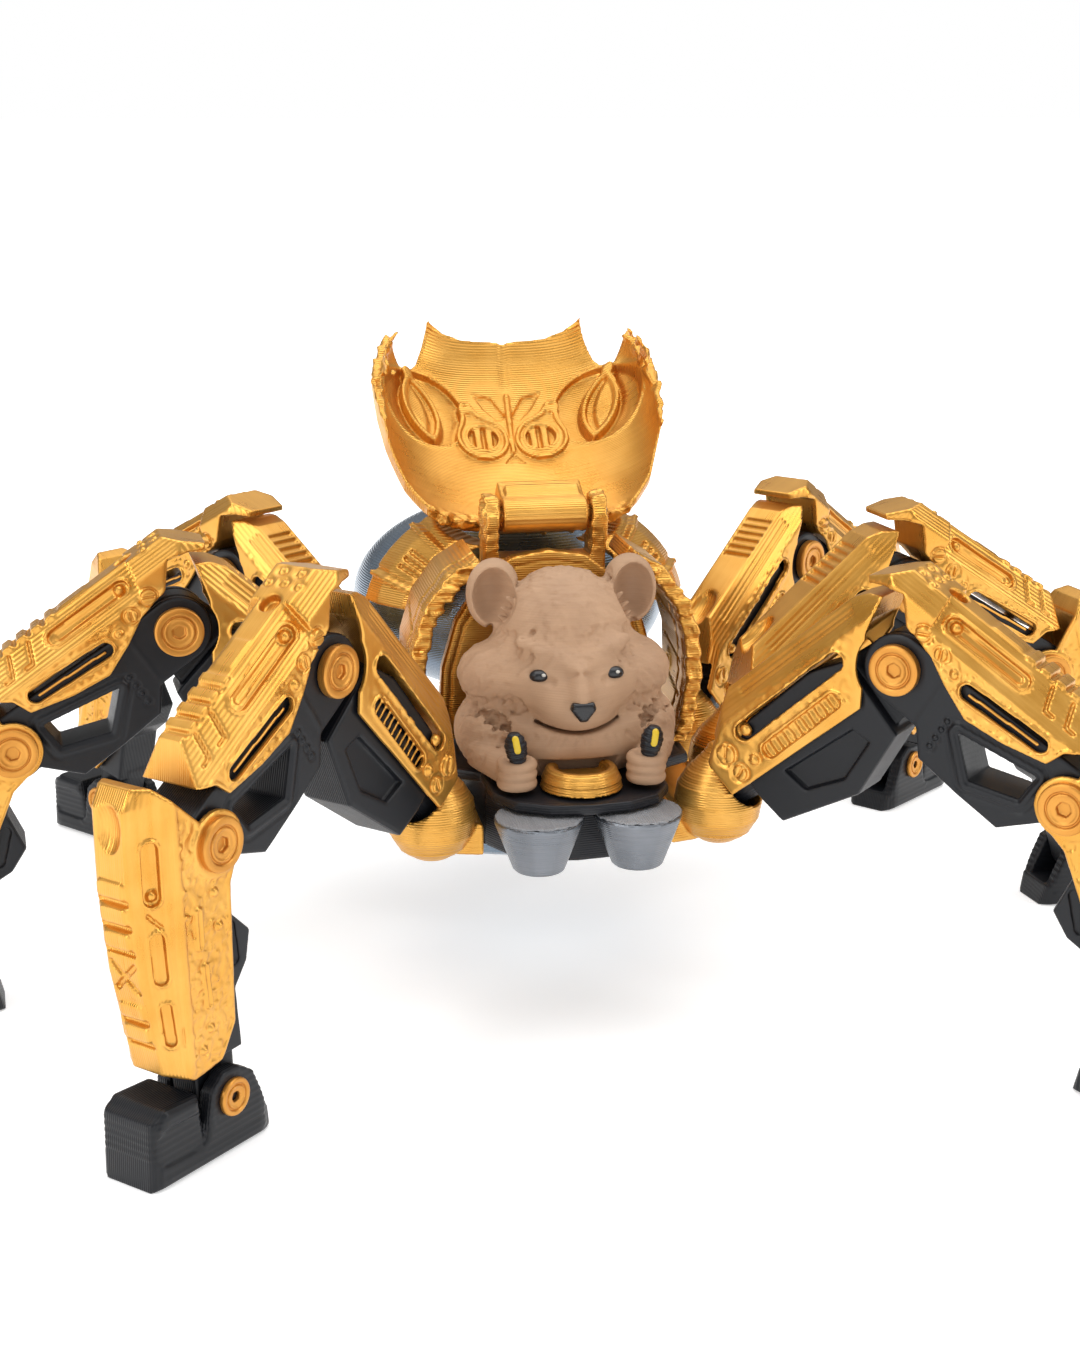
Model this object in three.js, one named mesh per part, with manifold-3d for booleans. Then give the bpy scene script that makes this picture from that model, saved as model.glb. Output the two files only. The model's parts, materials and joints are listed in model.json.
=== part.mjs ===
// Hexapod spider robot with an open hood and a bear pilot, printed in gold, black and silver plastic.
// Millimetres, +Z up, the face looks along -Y, and the origin is on the floor under the model's middle.
import * as THREE from 'three';
import { mergeVertices } from 'three/addons/utils/BufferGeometryUtils.js';
import Module from 'manifold-3d';

const wasm = await Module();
wasm.setup();

// ---------- Driving dimensions ----------
const HIP_HEIGHT = 26.4;      // ball centres above the floor
const ANKLE_HEIGHT = 6.8;     // ankle pin above the sole
const HIP_LENGTH = 33;        // ball centre to knee pin
const THIGH_LENGTH = 25.2;    // knee pin to shin pin
const SHIN_LENGTH = 29.8;     // shin pin to ankle pin

const LINK_HALF = 3.6;        // half width of the black links
const TONGUE_HALF = 1.9;      // half width of a tongue between two ears
const EAR_INNER = 2.25;       // inner face of a fork ear
const CHANNEL_HALF = 3.9;     // half width of the channel inside a gold cover
const COVER_HALF = 4.5;       // half width of the gold covers
const KNUCKLE = 4.2;          // knuckle radius of the links
const PIN = 1.5;              // joint pin radius
const BORE = 1.95;            // joint bore radius
const DISC = 3.1;             // pin head radius
const DISC_HALF = 4.9;        // half distance over both pin heads

const BALL = 4.0;             // hip ball
const SOCKET_BORE = 4.55;     // spherical seat round the ball
const POD = 5.7;              // outer radius of a socket pod
const POD_MOUTH = 3.5;        // round mouth that the neck leaves through

const HINGE_Y = 8;            // hood hinge axis
const HINGE_Z = 59.5;
const HOOD_LEAN = 53;         // degrees that the open hood leans back

const DECK_Z = 29.6;          // top of the deck that the pilot sits on

// Where each leg starts, the way it points, and the angles of its thigh and shin below the horizontal.
const LEGS = [
  { name: 'front_left', x: -18.6, y: -15.5, yaw: 45.5, thigh: 34, shin: 92 },
  { name: 'middle_left', x: -24.6, y: 1.6, yaw: 5, thigh: 33.4, shin: 70 },
  { name: 'rear_left', x: -21.6, y: 16.9, yaw: -49, thigh: 26, shin: 75 },
  { name: 'front_right', x: 18.4, y: -15.5, yaw: 43, thigh: 31, shin: 71 },
  { name: 'middle_right', x: 24.6, y: 1.6, yaw: -7, thigh: 32, shin: 72 },
  { name: 'rear_right', x: 21.6, y: 16.9, yaw: -39.5, thigh: 30, shin: 66.5 },
];

// ---------- Materials ----------
const gold = new THREE.MeshStandardMaterial({ color: 0xd99532, roughness: 0.34, metalness: 0.45 });
const black = new THREE.MeshStandardMaterial({ color: 0x15161a, roughness: 0.5, metalness: 0.05 });
const silver = new THREE.MeshStandardMaterial({ color: 0x9aa0a8, roughness: 0.35, metalness: 0.5 });
const steelBlue = new THREE.MeshStandardMaterial({ color: 0x6d7f93, roughness: 0.3, metalness: 0.5 });
const brown = new THREE.MeshStandardMaterial({ color: 0x8d6c56, roughness: 0.75, metalness: 0 });

// ---------- Solid helpers ----------
const rad = THREE.MathUtils.degToRad;

function solid(geometry) {
  geometry.deleteAttribute('normal');
  geometry.deleteAttribute('uv');
  const merged = mergeVertices(geometry);
  return new wasm.Manifold(new wasm.Mesh({
    numProp: 3,
    vertProperties: new Float32Array(merged.attributes.position.array),
    triVerts: new Uint32Array(merged.index.array),
  }));
}

function join(solids) {
  return solids.reduce((whole, next) => whole.add(next));
}

function cut(whole, ...tools) {
  return tools.reduce((rest, tool) => rest.subtract(tool), whole);
}

function outline(points) {
  return new THREE.Shape(points.map(([x, y]) => new THREE.Vector2(x, y)));
}

// An outline in X and Z, swept along Y from y0 to y1.
function plate(points, y0, y1) {
  const geometry = new THREE.ExtrudeGeometry(outline(points), { depth: y1 - y0, bevelEnabled: false });
  return solid(geometry.rotateX(Math.PI / 2).translate(0, y1, 0));
}

// An outline in X and Y, raised along Z from z0 to z1.
function slab(points, z0, z1) {
  const geometry = new THREE.ExtrudeGeometry(outline(points), { depth: z1 - z0, bevelEnabled: false });
  return solid(geometry.translate(0, 0, z0));
}

// An outline in Y and Z, swept along X from x0 to x1.
function rib(points, x0, x1) {
  const geometry = new THREE.ExtrudeGeometry(outline(points), { depth: x1 - x0, bevelEnabled: false });
  return solid(geometry.rotateY(Math.PI / 2).rotateX(Math.PI / 2).translate(x0, 0, 0));
}

// A round bar along Y, centred on x and z.
function bar(radius, halfLength, x = 0, z = 0, sides = 12) {
  return solid(new THREE.CylinderGeometry(radius, radius, 2 * halfLength, sides).translate(x, 0, z));
}

// A round bar along X, centred on y and z.
function shaft(radius, halfLength, y, z, sides = 12) {
  return solid(new THREE.CylinderGeometry(radius, radius, 2 * halfLength, sides)
    .rotateZ(Math.PI / 2).translate(0, y, z));
}

function ellipsoid([x, y, z], [rx, ry, rz], across = 16, down = 10) {
  const geometry = new THREE.SphereGeometry(1, across, down).rotateX(Math.PI / 2);
  return solid(geometry.scale(rx, ry, rz).translate(x, y, z));
}

// An ellipsoid whose outline in X and Z is squared off, and whose section in Y stays round.
function squaredBowl([x, y, z], [rx, ry, rz], across = 20, down = 12) {
  const geometry = new THREE.SphereGeometry(1, across, down).rotateX(Math.PI / 2);
  const spots = geometry.attributes.position;
  for (let i = 0; i < spots.count; i += 1) {
    const [px, py, pz] = [spots.getX(i), spots.getY(i), spots.getZ(i)];
    const flat = (Math.abs(px) ** 3 + Math.abs(pz) ** 3) ** (2 / 3);
    const scale = 1 / Math.sqrt(flat + py * py);
    spots.setXYZ(i, px * scale, py * scale, pz * scale);
  }
  return solid(geometry.scale(rx, ry, rz).translate(x, y, z));
}

function box([x0, y0, z0], [x1, y1, z1]) {
  const geometry = new THREE.BoxGeometry(x1 - x0, y1 - y0, z1 - z0);
  return solid(geometry.translate((x0 + x1) / 2, (y0 + y1) / 2, (z0 + z1) / 2));
}

// A profile of radius and height, turned round the Z axis.
function turned(profile, sides = 20) {
  const points = profile.map(([r, z]) => new THREE.Vector2(r, z));
  return solid(new THREE.LatheGeometry(points, sides).rotateX(Math.PI / 2));
}

function mirrorX(points) {
  return [...points, ...points.filter(([x]) => x > 0).map(([x, y]) => [-x, y]).reverse()];
}

function mesh(name, body, material) {
  const { vertProperties, triVerts } = body.getMesh();
  const geometry = new THREE.BufferGeometry();
  geometry.setAttribute('position', new THREE.BufferAttribute(new Float32Array(vertProperties), 3));
  geometry.setIndex(new THREE.BufferAttribute(new Uint32Array(triVerts), 1));
  geometry.computeVertexNormals();
  const result = new THREE.Mesh(geometry, material);
  result.name = name;
  return result;
}

// ---------- One leg, each piece in the frame of its own segment ----------
// X runs from a segment's near pin to its far pin, Y along the pins and Z towards the outside.

// The space under a gold cover that its black link fills.
function channel(ceiling) {
  return box([-20, -CHANNEL_HALF, -20], [45, CHANNEL_HALF, ceiling]);
}

function hipLink() {
  const body = [[7.2, -3], [8, -7.2], [19, -9.7], [28, -6.4], [28, 4.4], [23, 6], [12, 5.6], [7.2, 3]];
  const tongue = [[27, -5.6], [HIP_LENGTH, -KNUCKLE], [HIP_LENGTH, KNUCKLE], [27, 4.6]];
  const neck = solid(new THREE.CylinderGeometry(2.2, 2.2, 6, 8).rotateZ(Math.PI / 2).translate(5, 0, 0));
  return cut(
    join([
      ellipsoid([0, 0, 0], [BALL, BALL, BALL], 12, 6),
      neck,
      plate(body, -LINK_HALF, LINK_HALF),
      plate(tongue, -TONGUE_HALF, TONGUE_HALF),
      bar(KNUCKLE, TONGUE_HALF, HIP_LENGTH, 0),
    ]),
    bar(BORE, LINK_HALF, HIP_LENGTH, 0),
  );
}

function hipCover() {
  const side = [[4.7, -1], [4.2, 4.4], [12, 10.4], [33.3, 10], [35.4, 9.2], [37, 7.8],
    [32.6, 5.4], [26.4, -1.4]];
  return cut(
    plate(side, -COVER_HALF, COVER_HALF),
    channel(6.4),
    bar(KNUCKLE + 0.7, COVER_HALF + 1, HIP_LENGTH, 0),
  );
}

function thighLink() {
  const body = [[5, 4], [5, -3.6], [8, -7.5], [14, -8], [20.2, -8.2], [24, -4], [THIGH_LENGTH, -KNUCKLE],
    [THIGH_LENGTH, KNUCKLE], [21, 4.2]];
  const ear = [[0, KNUCKLE], [0, -KNUCKLE], [6, -4.4], [6, 4]];
  const window = [[10.2, -1.6], [20.4, 0.2], [20.2, -3.4], [14.4, -5.6]];
  const ears = [-1, 1].map((side) => {
    const [inner, outer] = side < 0 ? [-LINK_HALF, -EAR_INNER] : [EAR_INNER, LINK_HALF];
    const middle = (inner + outer) / 2;
    const round = solid(new THREE.CylinderGeometry(KNUCKLE, KNUCKLE, outer - inner, 12).translate(0, middle, 0));
    return plate(ear, inner, outer).add(round);
  });
  const heads = [-1, 1].map((side) => {
    const root = LINK_HALF - 0.4;
    const middle = side * (root + DISC_HALF) / 2;
    return solid(new THREE.CylinderGeometry(DISC, DISC, DISC_HALF - root, 12).translate(0, middle, 0));
  });
  const frame = cut(
    join([plate(body, -LINK_HALF, LINK_HALF), bar(KNUCKLE, LINK_HALF, THIGH_LENGTH, 0)]),
    bar(BORE, LINK_HALF + 1, THIGH_LENGTH, 0),
    plate(window, -LINK_HALF - 1, LINK_HALF + 1),
  );
  return join([frame, ...ears, ...heads, bar(PIN, LINK_HALF, 0, 0)]);
}

function thighCover() {
  const side = [[-9.2, 6.9], [-5.2, 10.8], [20.4, 10.2], [23.4, 6.4], [21.4, 5], [20.5, 2.6], [15.1, 1.2], [10, 0.6],
    [5.8, 2.4], [2.6, 4.2], [-1.7, 5.2], [-4.2, 8.2], [-6.6, 7.5], [-8.6, 6.3]];
  return cut(plate(side, -COVER_HALF, COVER_HALF), channel(4.6));
}

function shinLink() {
  const body = [[5.2, 5.8], [5.2, -1.2], [8.5, -2], [12, -5.4], [15.5, -4.6], [18, -2.6], [25.2, -3], [25.2, 4]];
  const tongue = [[24, -3], [SHIN_LENGTH, -3], [SHIN_LENGTH, 3], [24, 3.4]];
  return cut(
    join([
      plate(body, -LINK_HALF + 0.1, LINK_HALF - 0.1),
      plate(tongue, -TONGUE_HALF, TONGUE_HALF),
      bar(3, TONGUE_HALF, SHIN_LENGTH, 0, 12),
    ]),
    bar(1.6, LINK_HALF, SHIN_LENGTH, 0, 12),
  );
}

function shinCover() {
  const side = [[-8.3, 7.8], [-8.6, 9.6], [-6.4, 11], [3, 11.2], [12, 10.5], [24.4, 8.2], [25.5, 5.6], [24.8, 1.5],
    [21, -0.9], [5, -1.6], [2.4, -2.8], [0, -3.3], [-2.4, -2.2], [-3.3, 0], [-2.8, 2]];
  const shell = cut(plate(side, -COVER_HALF - 0.2, COVER_HALF + 0.2), channel(6.2));
  return join([shell, bar(PIN, COVER_HALF, 0, 0), ...[-1, 1].map((end) => {
    const middle = end * 5.1;
    return solid(new THREE.CylinderGeometry(DISC + 0.1, DISC + 0.1, 1, 12).translate(0, middle, 0));
  })]);
}

function foot() {
  const shoe = [[-7.2, -ANKLE_HEIGHT], [12.2, -ANKLE_HEIGHT], [12, 1], [10, 2.3], [4.9, 2],
    [4, -3.7], [-6.4, -3.7]];
  const ear = [[-6.2, -4.2], [-3.6, 1.6], [-1.2, 3.2], [1.2, 3.2], [3.1, 1.6], [4.4, -4.2]];
  return join([
    plate(shoe, -4.2, 4.2),
    plate(ear, EAR_INNER, 4.2),
    plate(ear, -4.2, -EAR_INNER),
    bar(1.2, 4, 0, 0, 12),
    bar(2.2, 4.9, 0, 0, 12).subtract(bar(3, 3, 0, 0, 12)),
  ]);
}

// The hip's lift, in degrees, that sets the sole flat on the floor.
function hipLift({ thigh, shin }) {
  const drop = THIGH_LENGTH * Math.sin(rad(thigh)) + SHIN_LENGTH * Math.sin(rad(shin));
  return THREE.MathUtils.radToDeg(Math.asin((ANKLE_HEIGHT - HIP_HEIGHT + drop) / HIP_LENGTH));
}

const hipLinkSolid = hipLink();
const hipCoverSolid = hipCover();
const thighLinkSolid = thighLink();
const thighCoverSolid = thighCover();
const shinLinkSolid = shinLink();
const shinCoverSolid = shinCover();
const footSolid = foot();

function segment(length, turn, pieces) {
  const group = new THREE.Group();
  group.position.x = length;
  group.rotation.y = rad(turn);
  group.add(...pieces);
  return group;
}

function makeLeg(leg) {
  const lift = hipLift(leg);
  const side = Math.sign(leg.x);
  const root = new THREE.Group();
  root.position.set(leg.x, leg.y, HIP_HEIGHT);
  root.rotation.z = Math.atan2(-Math.sin(rad(leg.yaw)), side * Math.cos(rad(leg.yaw)));
  const hip = segment(0, -lift, [
    mesh(`${leg.name}_hip_link`, hipLinkSolid, black),
    mesh(`${leg.name}_hip_cover`, hipCoverSolid, gold),
  ]);
  const thigh = segment(HIP_LENGTH, lift + leg.thigh, [
    mesh(`${leg.name}_thigh_link`, thighLinkSolid, black),
    mesh(`${leg.name}_thigh_cover`, thighCoverSolid, gold),
  ]);
  const shin = segment(THIGH_LENGTH, leg.shin - leg.thigh, [
    mesh(`${leg.name}_shin_link`, shinLinkSolid, black),
    mesh(`${leg.name}_shin_cover`, shinCoverSolid, gold),
  ]);
  const sole = segment(SHIN_LENGTH, -leg.shin, [mesh(`${leg.name}_foot`, footSolid, black)]);
  shin.add(sole);
  thigh.add(shin);
  hip.add(thigh);
  root.add(hip);
  return root;
}

// ---------- Body ----------
function deckHull() {
  const deck = mirrorX([[0, -24.8], [5, -24.2], [9, -22], [11.2, -18], [11.4, -9.6], [16.8, -6], [17.4, 8],
    [14, 14], [8, 17.2], [0, 17.6]]);
  const keel = mirrorX([[0, -16.8], [7, -16], [10.8, -9], [11.6, 12], [7, 17], [0, 17.6]]);
  return join([slab(deck, 28.3, DECK_Z), slab(keel, 19.4, 28.5)]);
}

// The three socket pods of one side and the rail behind them. Each mouth faces its leg's neck.
function socketBank(side) {
  const legs = LEGS.filter((leg) => Math.sign(leg.x) === side);
  const profile = [[0, -5.7], [2.2, -5.26], [4, -4.06], [5.3, -2.1], [POD, 0], [5.3, 2.1],
    [4.2, 3.9], [2.2, 5.8], [0, 7.5]];
  const rail = [[12.1, -16.4], [15.8, -15.4], [20.4, 0], [19, 13.4], [17.4, 17], [12.4, 15.6], [12, -9]];
  const pods = legs.map(({ x, y }) => turned(profile, 12).translate([x, y, HIP_HEIGHT]));
  const seats = legs.map((leg) => {
    const mouth = solid(new THREE.CylinderGeometry(POD_MOUTH, POD_MOUTH, 10, 12).rotateZ(Math.PI / 2)
      .translate(5, 0, 0).rotateY(-rad(hipLift(leg)))
      .rotateZ(Math.atan2(-Math.sin(rad(leg.yaw)), side * Math.cos(rad(leg.yaw)))));
    const seat = ellipsoid([0, 0, 0], [SOCKET_BORE, SOCKET_BORE, SOCKET_BORE], 12, 8);
    return mouth.add(seat).translate([leg.x, leg.y, HIP_HEIGHT]);
  });
  const sided = rail.map(([x, y]) => [side * x, y]);
  return cut(join([slab(side < 0 ? sided.reverse() : sided, 20.8, 25), ...pods]), ...seats);
}

function cockpitShell(side) {
  const outer = [[10.5, 56], [14.5, 53.6], [17.6, 49.4], [19.2, 44], [19.4, 38], [18.6, 32.6], [17.4, DECK_Z + 0.4]];
  const inner = [[15.4, DECK_Z + 0.4], [16.6, 33], [17.3, 38], [17.1, 43.6], [15.7, 48.4], [13, 52], [9, 54.2]];
  const sided = [...outer, ...inner].map(([x, z]) => [side * x, z]);
  return plate(side > 0 ? sided.reverse() : sided, -2.4, 11.5);
}

function seatBack() {
  const half = [[0, 55.4], [5, 54.6], [9.4, 51.2], [12.6, 46.2], [14.4, 40], [14.8, 34], [14, DECK_Z + 0.4]];
  return plate(mirrorX(half), 4, 6.2);
}

function hingeBracket() {
  const cheek = [[6.6, 46], [11.6, 46], [11.6, 56.5], [10.4, 61.2], [8.6, 62.5], [6.8, 62], [5.2, 59.6], [6.6, 54]];
  return join([
    rib(cheek, -8.2, -6.2),
    rib(cheek, 6.2, 8.2),
    box([-8.2, 6.6, 44], [8.2, 11.6, 54]),
    shaft(0.95, 7, HINGE_Y, HINGE_Z, 12),
  ]);
}

// The hood is drawn round its hinge, with Z along its length and Y into its bowl, then leaned back.
function hood() {
  const bowl = cut(
    squaredBowl([0, 0, 20], [20.8, 12.4, 22]),
    squaredBowl([0, 0, 20], [19.1, 10.7, 20.3]),
    box([-30, -30, -30], [30, 0, 60]),
  );
  const face = mirrorX([[0, 4.6], [9.4, 4.6], [13.6, 5.4], [17, 10], [19.4, 18], [20.4, 26], [19, 32.4], [17.6, 35.6],
    [15.4, 32.8], [13.2, 34.2], [11.4, 39.2], [0, 38.4]]);
  const mask = plate(face, -5, 30);
  const arm = rib([[-1.8, 0], [2.2, -0.8], [7.8, 3.6], [6.6, 6], [0.3, 3.4]], -5.8, 5.8);
  const knuckle = shaft(2.4, 5.8, 0, 0);
  const whole = cut(join([bowl.intersect(mask), arm, knuckle]), shaft(1.35, 9, 0, 0, 12));
  return whole.rotate([-HOOD_LEAN, 0, 0]).translate([0, HINGE_Y, HINGE_Z]);
}

const ABDOMEN = { centre: [0, 36.5, 42.6], radii: [23, 22, 14.2] };

function abdomenSphere() {
  return ellipsoid(ABDOMEN.centre, ABDOMEN.radii, 20, 12);
}

// One of the two gold plates that wrap the front of the abdomen, behind the cockpit.
function abdomenArmour(side) {
  const [, y, z] = ABDOMEN.centre;
  const ring = [[14.4, -19.2], [17.2, -16], [19.2, -13.4], [21, -14], [19.8, -17.2], [17.2, -21], [15, -22.4]];
  const points = [...ring, ring[0]].reverse().map(([r, h]) => new THREE.Vector2(r, h));
  const lathe = solid(new THREE.LatheGeometry(points, 24).scale(1.1, 1, 0.86).translate(0, y, z));
  const hoodRoom = squaredBowl([0, 0, 20], [22, 13.6, 23.2])
    .rotate([-HOOD_LEAN, 0, 0]).translate([0, HINGE_Y, HINGE_Z]);
  const otherSide = side > 0 ? box([-60, -20, 0], [0.3, 90, 90]) : box([-0.3, -20, 0], [60, 90, 90]);
  return cut(lathe, box([-40, -20, 0], [40, 80, 45.4]), hoodRoom, otherSide);
}

function bellyDish() {
  const dish = turned([[0, 15.8], [14, 15.8], [21, 17.4], [22.4, 19], [0, 19]], 20);
  return dish.scale([1, 0.6, 1]).translate([0, 5, 0]);
}

function pilotBear() {
  const ears = [-1, 1].map((side) => ellipsoid([side * 8.2, -5, 51.6], [3.7, 2, 4], 10, 6));
  const fists = [-1, 1].map((side) => ellipsoid([side * 8.6, -17.6, 31.6], [2.8, 2.7, 1.9], 8, 6));
  const arms = [-1, 1].map((side) => ellipsoid([side * 10.6, -13, 32.2], [3.4, 5.6, 3], 8, 6));
  const figure = join([
    ellipsoid([0, -8, 36.4], [14, 10.6, 7.6], 14, 8),
    ellipsoid([0, -6.6, 43.6], [10.8, 9.6, 9.4], 14, 8),
    ellipsoid([0, -14.6, 39.2], [6, 5, 4.2], 10, 6),
    ...ears, ...arms, ...fists,
  ]);
  const consoleRoom = turned([[0, 0], [5.6, 0], [5.6, 33], [0, 33]], 12).translate([0, -17.9, 0]);
  const stickRooms = [-1, 1].map((side) => turned([[0, 0], [1.9, 0], [1.9, 6], [0, 6]], 6)
    .rotate([6, side * -10, 0]).translate([side * 8.2, -19.4, 33.5]));
  const underside = box([-30, -40, 0], [30, 30, DECK_Z + 0.4]);
  const behind = box([-30, 3.4, 0], [30, 30, 90]);
  return cut(figure, underside, behind, consoleRoom, ...stickRooms);
}

function joystick(side) {
  const grip = turned([[0, 0], [0.9, 0], [1.3, 1.2], [1.35, 2.6], [0.9, 3.5], [0, 3.7]], 10);
  return grip.rotate([6, side * -10, 0]).translate([side * 8.2, -19.4, 33.9]);
}

function consoleCollar() {
  const cone = turned([[0, DECK_Z + 0.4], [5.2, DECK_Z + 0.4], [4.3, 32.6], [3.4, 32.6], [3, 31.6], [0, 31.6]], 12);
  return cone.translate([0, -17.9, 0]).subtract(box([-10, -15.8, 0], [10, 0, 60]));
}

function jaw(side) {
  const cone = turned([[0, 21], [2.9, 21], [3.3, 21.3], [5.6, 27.6], [5.6, 28], [0, 28]], 14);
  return cone.translate([side * 6.2, -22.6, 0]).subtract(box([-20, -17.2, 0], [20, 0, 60]));
}

// ---------- Assembly ----------
const robot = new THREE.Group();
robot.add(
  mesh('deck_hull', deckHull(), black),
  mesh('socket_bank_left', socketBank(-1), gold),
  mesh('socket_bank_right', socketBank(1), gold),
  mesh('cockpit_shell_left', cockpitShell(-1), gold),
  mesh('cockpit_shell_right', cockpitShell(1), gold),
  mesh('seat_back', seatBack(), gold),
  mesh('hinge_bracket', hingeBracket(), gold),
  mesh('hood', hood(), gold),
  mesh('abdomen_sphere', abdomenSphere(), steelBlue),
  mesh('abdomen_armour_left', abdomenArmour(-1), gold),
  mesh('abdomen_armour_right', abdomenArmour(1), gold),
  mesh('belly_dish', bellyDish(), steelBlue),
  mesh('pilot_bear', pilotBear(), brown),
  mesh('joystick_left', joystick(-1), black),
  mesh('joystick_right', joystick(1), black),
  mesh('console_collar', consoleCollar(), gold),
  mesh('jaw_left', jaw(-1), silver),
  mesh('jaw_right', jaw(1), silver),
  ...LEGS.map(makeLeg),
);

// The origin moves to the floor under the middle of the bounding box.
robot.updateMatrixWorld(true);
const bounds = new THREE.Box3().setFromObject(robot, true);
const middle = bounds.getCenter(new THREE.Vector3());
robot.position.set(-middle.x, -middle.y, -bounds.min.z);

export default robot;
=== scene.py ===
"""Hexapod spider robot with a bear pilot: fine surfaces, materials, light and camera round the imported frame.

Every piece is carved on a box of voxels as a signed distance field in millimetres, then turned into a mesh.
"""
import json
import math

import bpy
import numpy as np
import openvdb
from mathutils import Matrix, Vector


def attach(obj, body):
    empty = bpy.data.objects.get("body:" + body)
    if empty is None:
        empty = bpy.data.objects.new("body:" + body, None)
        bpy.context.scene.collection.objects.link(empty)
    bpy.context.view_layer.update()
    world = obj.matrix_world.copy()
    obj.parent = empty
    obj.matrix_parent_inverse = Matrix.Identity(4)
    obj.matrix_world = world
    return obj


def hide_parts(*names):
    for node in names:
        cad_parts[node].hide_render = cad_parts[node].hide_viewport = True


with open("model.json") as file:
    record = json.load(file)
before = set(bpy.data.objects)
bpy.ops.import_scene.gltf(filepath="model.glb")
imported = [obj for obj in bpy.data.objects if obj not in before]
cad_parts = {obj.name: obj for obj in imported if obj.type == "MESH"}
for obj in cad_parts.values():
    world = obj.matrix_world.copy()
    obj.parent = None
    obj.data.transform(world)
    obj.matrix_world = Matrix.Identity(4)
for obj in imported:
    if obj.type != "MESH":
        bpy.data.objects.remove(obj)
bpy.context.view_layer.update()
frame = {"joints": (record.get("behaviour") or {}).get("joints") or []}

MM = 0.001
FINE = 0.22       # voxel edge of the small pieces, in millimetres
MEDIUM = 0.27    # voxel edge of the large pieces
LEG_NAMES = [f"{row}_{side}" for row in ("front", "middle", "rear") for side in ("left", "right")]
rng = np.random.default_rng(7)

# ---------- Dimensions shared with the frame, in millimetres ----------
HIP, THIGH, SHIN = 33.0, 25.2, 29.8      # pin to pin along a leg
ANKLE_HEIGHT = 6.8
LINK_HALF, TONGUE_HALF, EAR_INNER, COVER_HALF = 3.6, 1.9, 2.25, 4.5
CHANNEL_HALF = 3.9
KNUCKLE = 4.2
DISC, DISC_HALF = 3.1, 4.9
HINGE = (8.0, 59.5)                      # hood hinge in Y and Z of the body's own frame
HOOD_LEAN = math.radians(53)
DECK_Z = 29.6

JOINTS = {joint["name"]: joint for joint in frame["joints"]}
body_origin = Vector(JOINTS["hood_hinge"]["pos_m"]) - Vector((0, HINGE[0], HINGE[1])) * MM


# ---------- Distance fields ----------
def smooth_min(a, b, r):
    if r <= 0:
        return np.minimum(a, b)
    h = np.clip(r - np.abs(a - b), 0, None) / r
    return np.minimum(a, b) - h * h * r * 0.25


def smooth_max(a, b, r):
    return -smooth_min(-a, -b, r)


def union(*shapes, r=0.0):
    whole = shapes[0]
    for shape in shapes[1:]:
        whole = smooth_min(whole, shape, r)
    return whole


def common(*shapes, r=0.0):
    whole = shapes[0]
    for shape in shapes[1:]:
        whole = smooth_max(whole, shape, r)
    return whole


def polygon(p, q, points):
    """Signed distance of (p, q) to a closed outline."""
    nearest = np.float32(1e9)
    inside = np.zeros(np.broadcast(p, q).shape, bool)
    for (x0, y0), (x1, y1) in zip(points, points[1:] + points[:1]):
        ex, ey = x1 - x0, y1 - y0
        t = np.clip(((p - x0) * ex + (q - y0) * ey) / (ex * ex + ey * ey), 0, 1)
        nearest = np.minimum(nearest, (p - x0 - ex * t) ** 2 + (q - y0 - ey * t) ** 2)
        if y0 != y1:
            spans = (np.minimum(y0, y1) <= q) & (q < np.maximum(y0, y1))
            inside ^= spans & (x0 + (q - y0) * ex / ey > p)
    return np.where(inside, -1, 1) * np.sqrt(nearest)


def stadium(p, q, start, end, r):
    (x0, y0), (x1, y1) = start, end
    ex, ey = x1 - x0, y1 - y0
    t = np.clip(((p - x0) * ex + (q - y0) * ey) / max(ex * ex + ey * ey, 1e-9), 0, 1)
    return np.sqrt((p - x0 - ex * t) ** 2 + (q - y0 - ey * t) ** 2) - r


def disc(p, q, x, y, r):
    return np.sqrt((p - x) ** 2 + (q - y) ** 2) - r


def rectangle(p, q, x, y, half_x, half_y, r=0.1):
    dx, dy = np.abs(p - x) - half_x + r, np.abs(q - y) - half_y + r
    return np.minimum(np.maximum(dx, dy), 0) + np.sqrt(np.maximum(dx, 0) ** 2 + np.maximum(dy, 0) ** 2) - r


def extruded(shape, along, edge=0.35):
    """A flat shape swept to where `along` is zero, with rounded edges."""
    a, b = shape + edge, along + edge
    return np.minimum(np.maximum(a, b), 0) + np.sqrt(np.maximum(a, 0) ** 2 + np.maximum(b, 0) ** 2) - edge


def ellipsoid(x, y, z, centre, radii):
    p, q, s = (x - centre[0]) / radii[0], (y - centre[1]) / radii[1], (z - centre[2]) / radii[2]
    k = np.sqrt(p * p + q * q + s * s)
    slope = np.sqrt((p / radii[0]) ** 2 + (q / radii[1]) ** 2 + (s / radii[2]) ** 2)
    return k * (k - 1) / np.maximum(slope, 1e-6)


def capsule(x, y, z, start, end, r0, r1=None):
    r1 = r0 if r1 is None else r1
    e = [b - a for a, b in zip(start, end)]
    along = (x - start[0]) * e[0] + (y - start[1]) * e[1] + (z - start[2]) * e[2]
    t = np.clip(along / sum(c * c for c in e), 0, 1)
    away = (x - start[0] - e[0] * t) ** 2 + (y - start[1] - e[1] * t) ** 2 + (z - start[2] - e[2] * t) ** 2
    return np.sqrt(away) - (r0 + (r1 - r0) * t)


def waves(distance, pitch, height):
    """Fine contour lines that follow an outline."""
    return height * np.cos(distance * (2 * math.pi / pitch))


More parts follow.
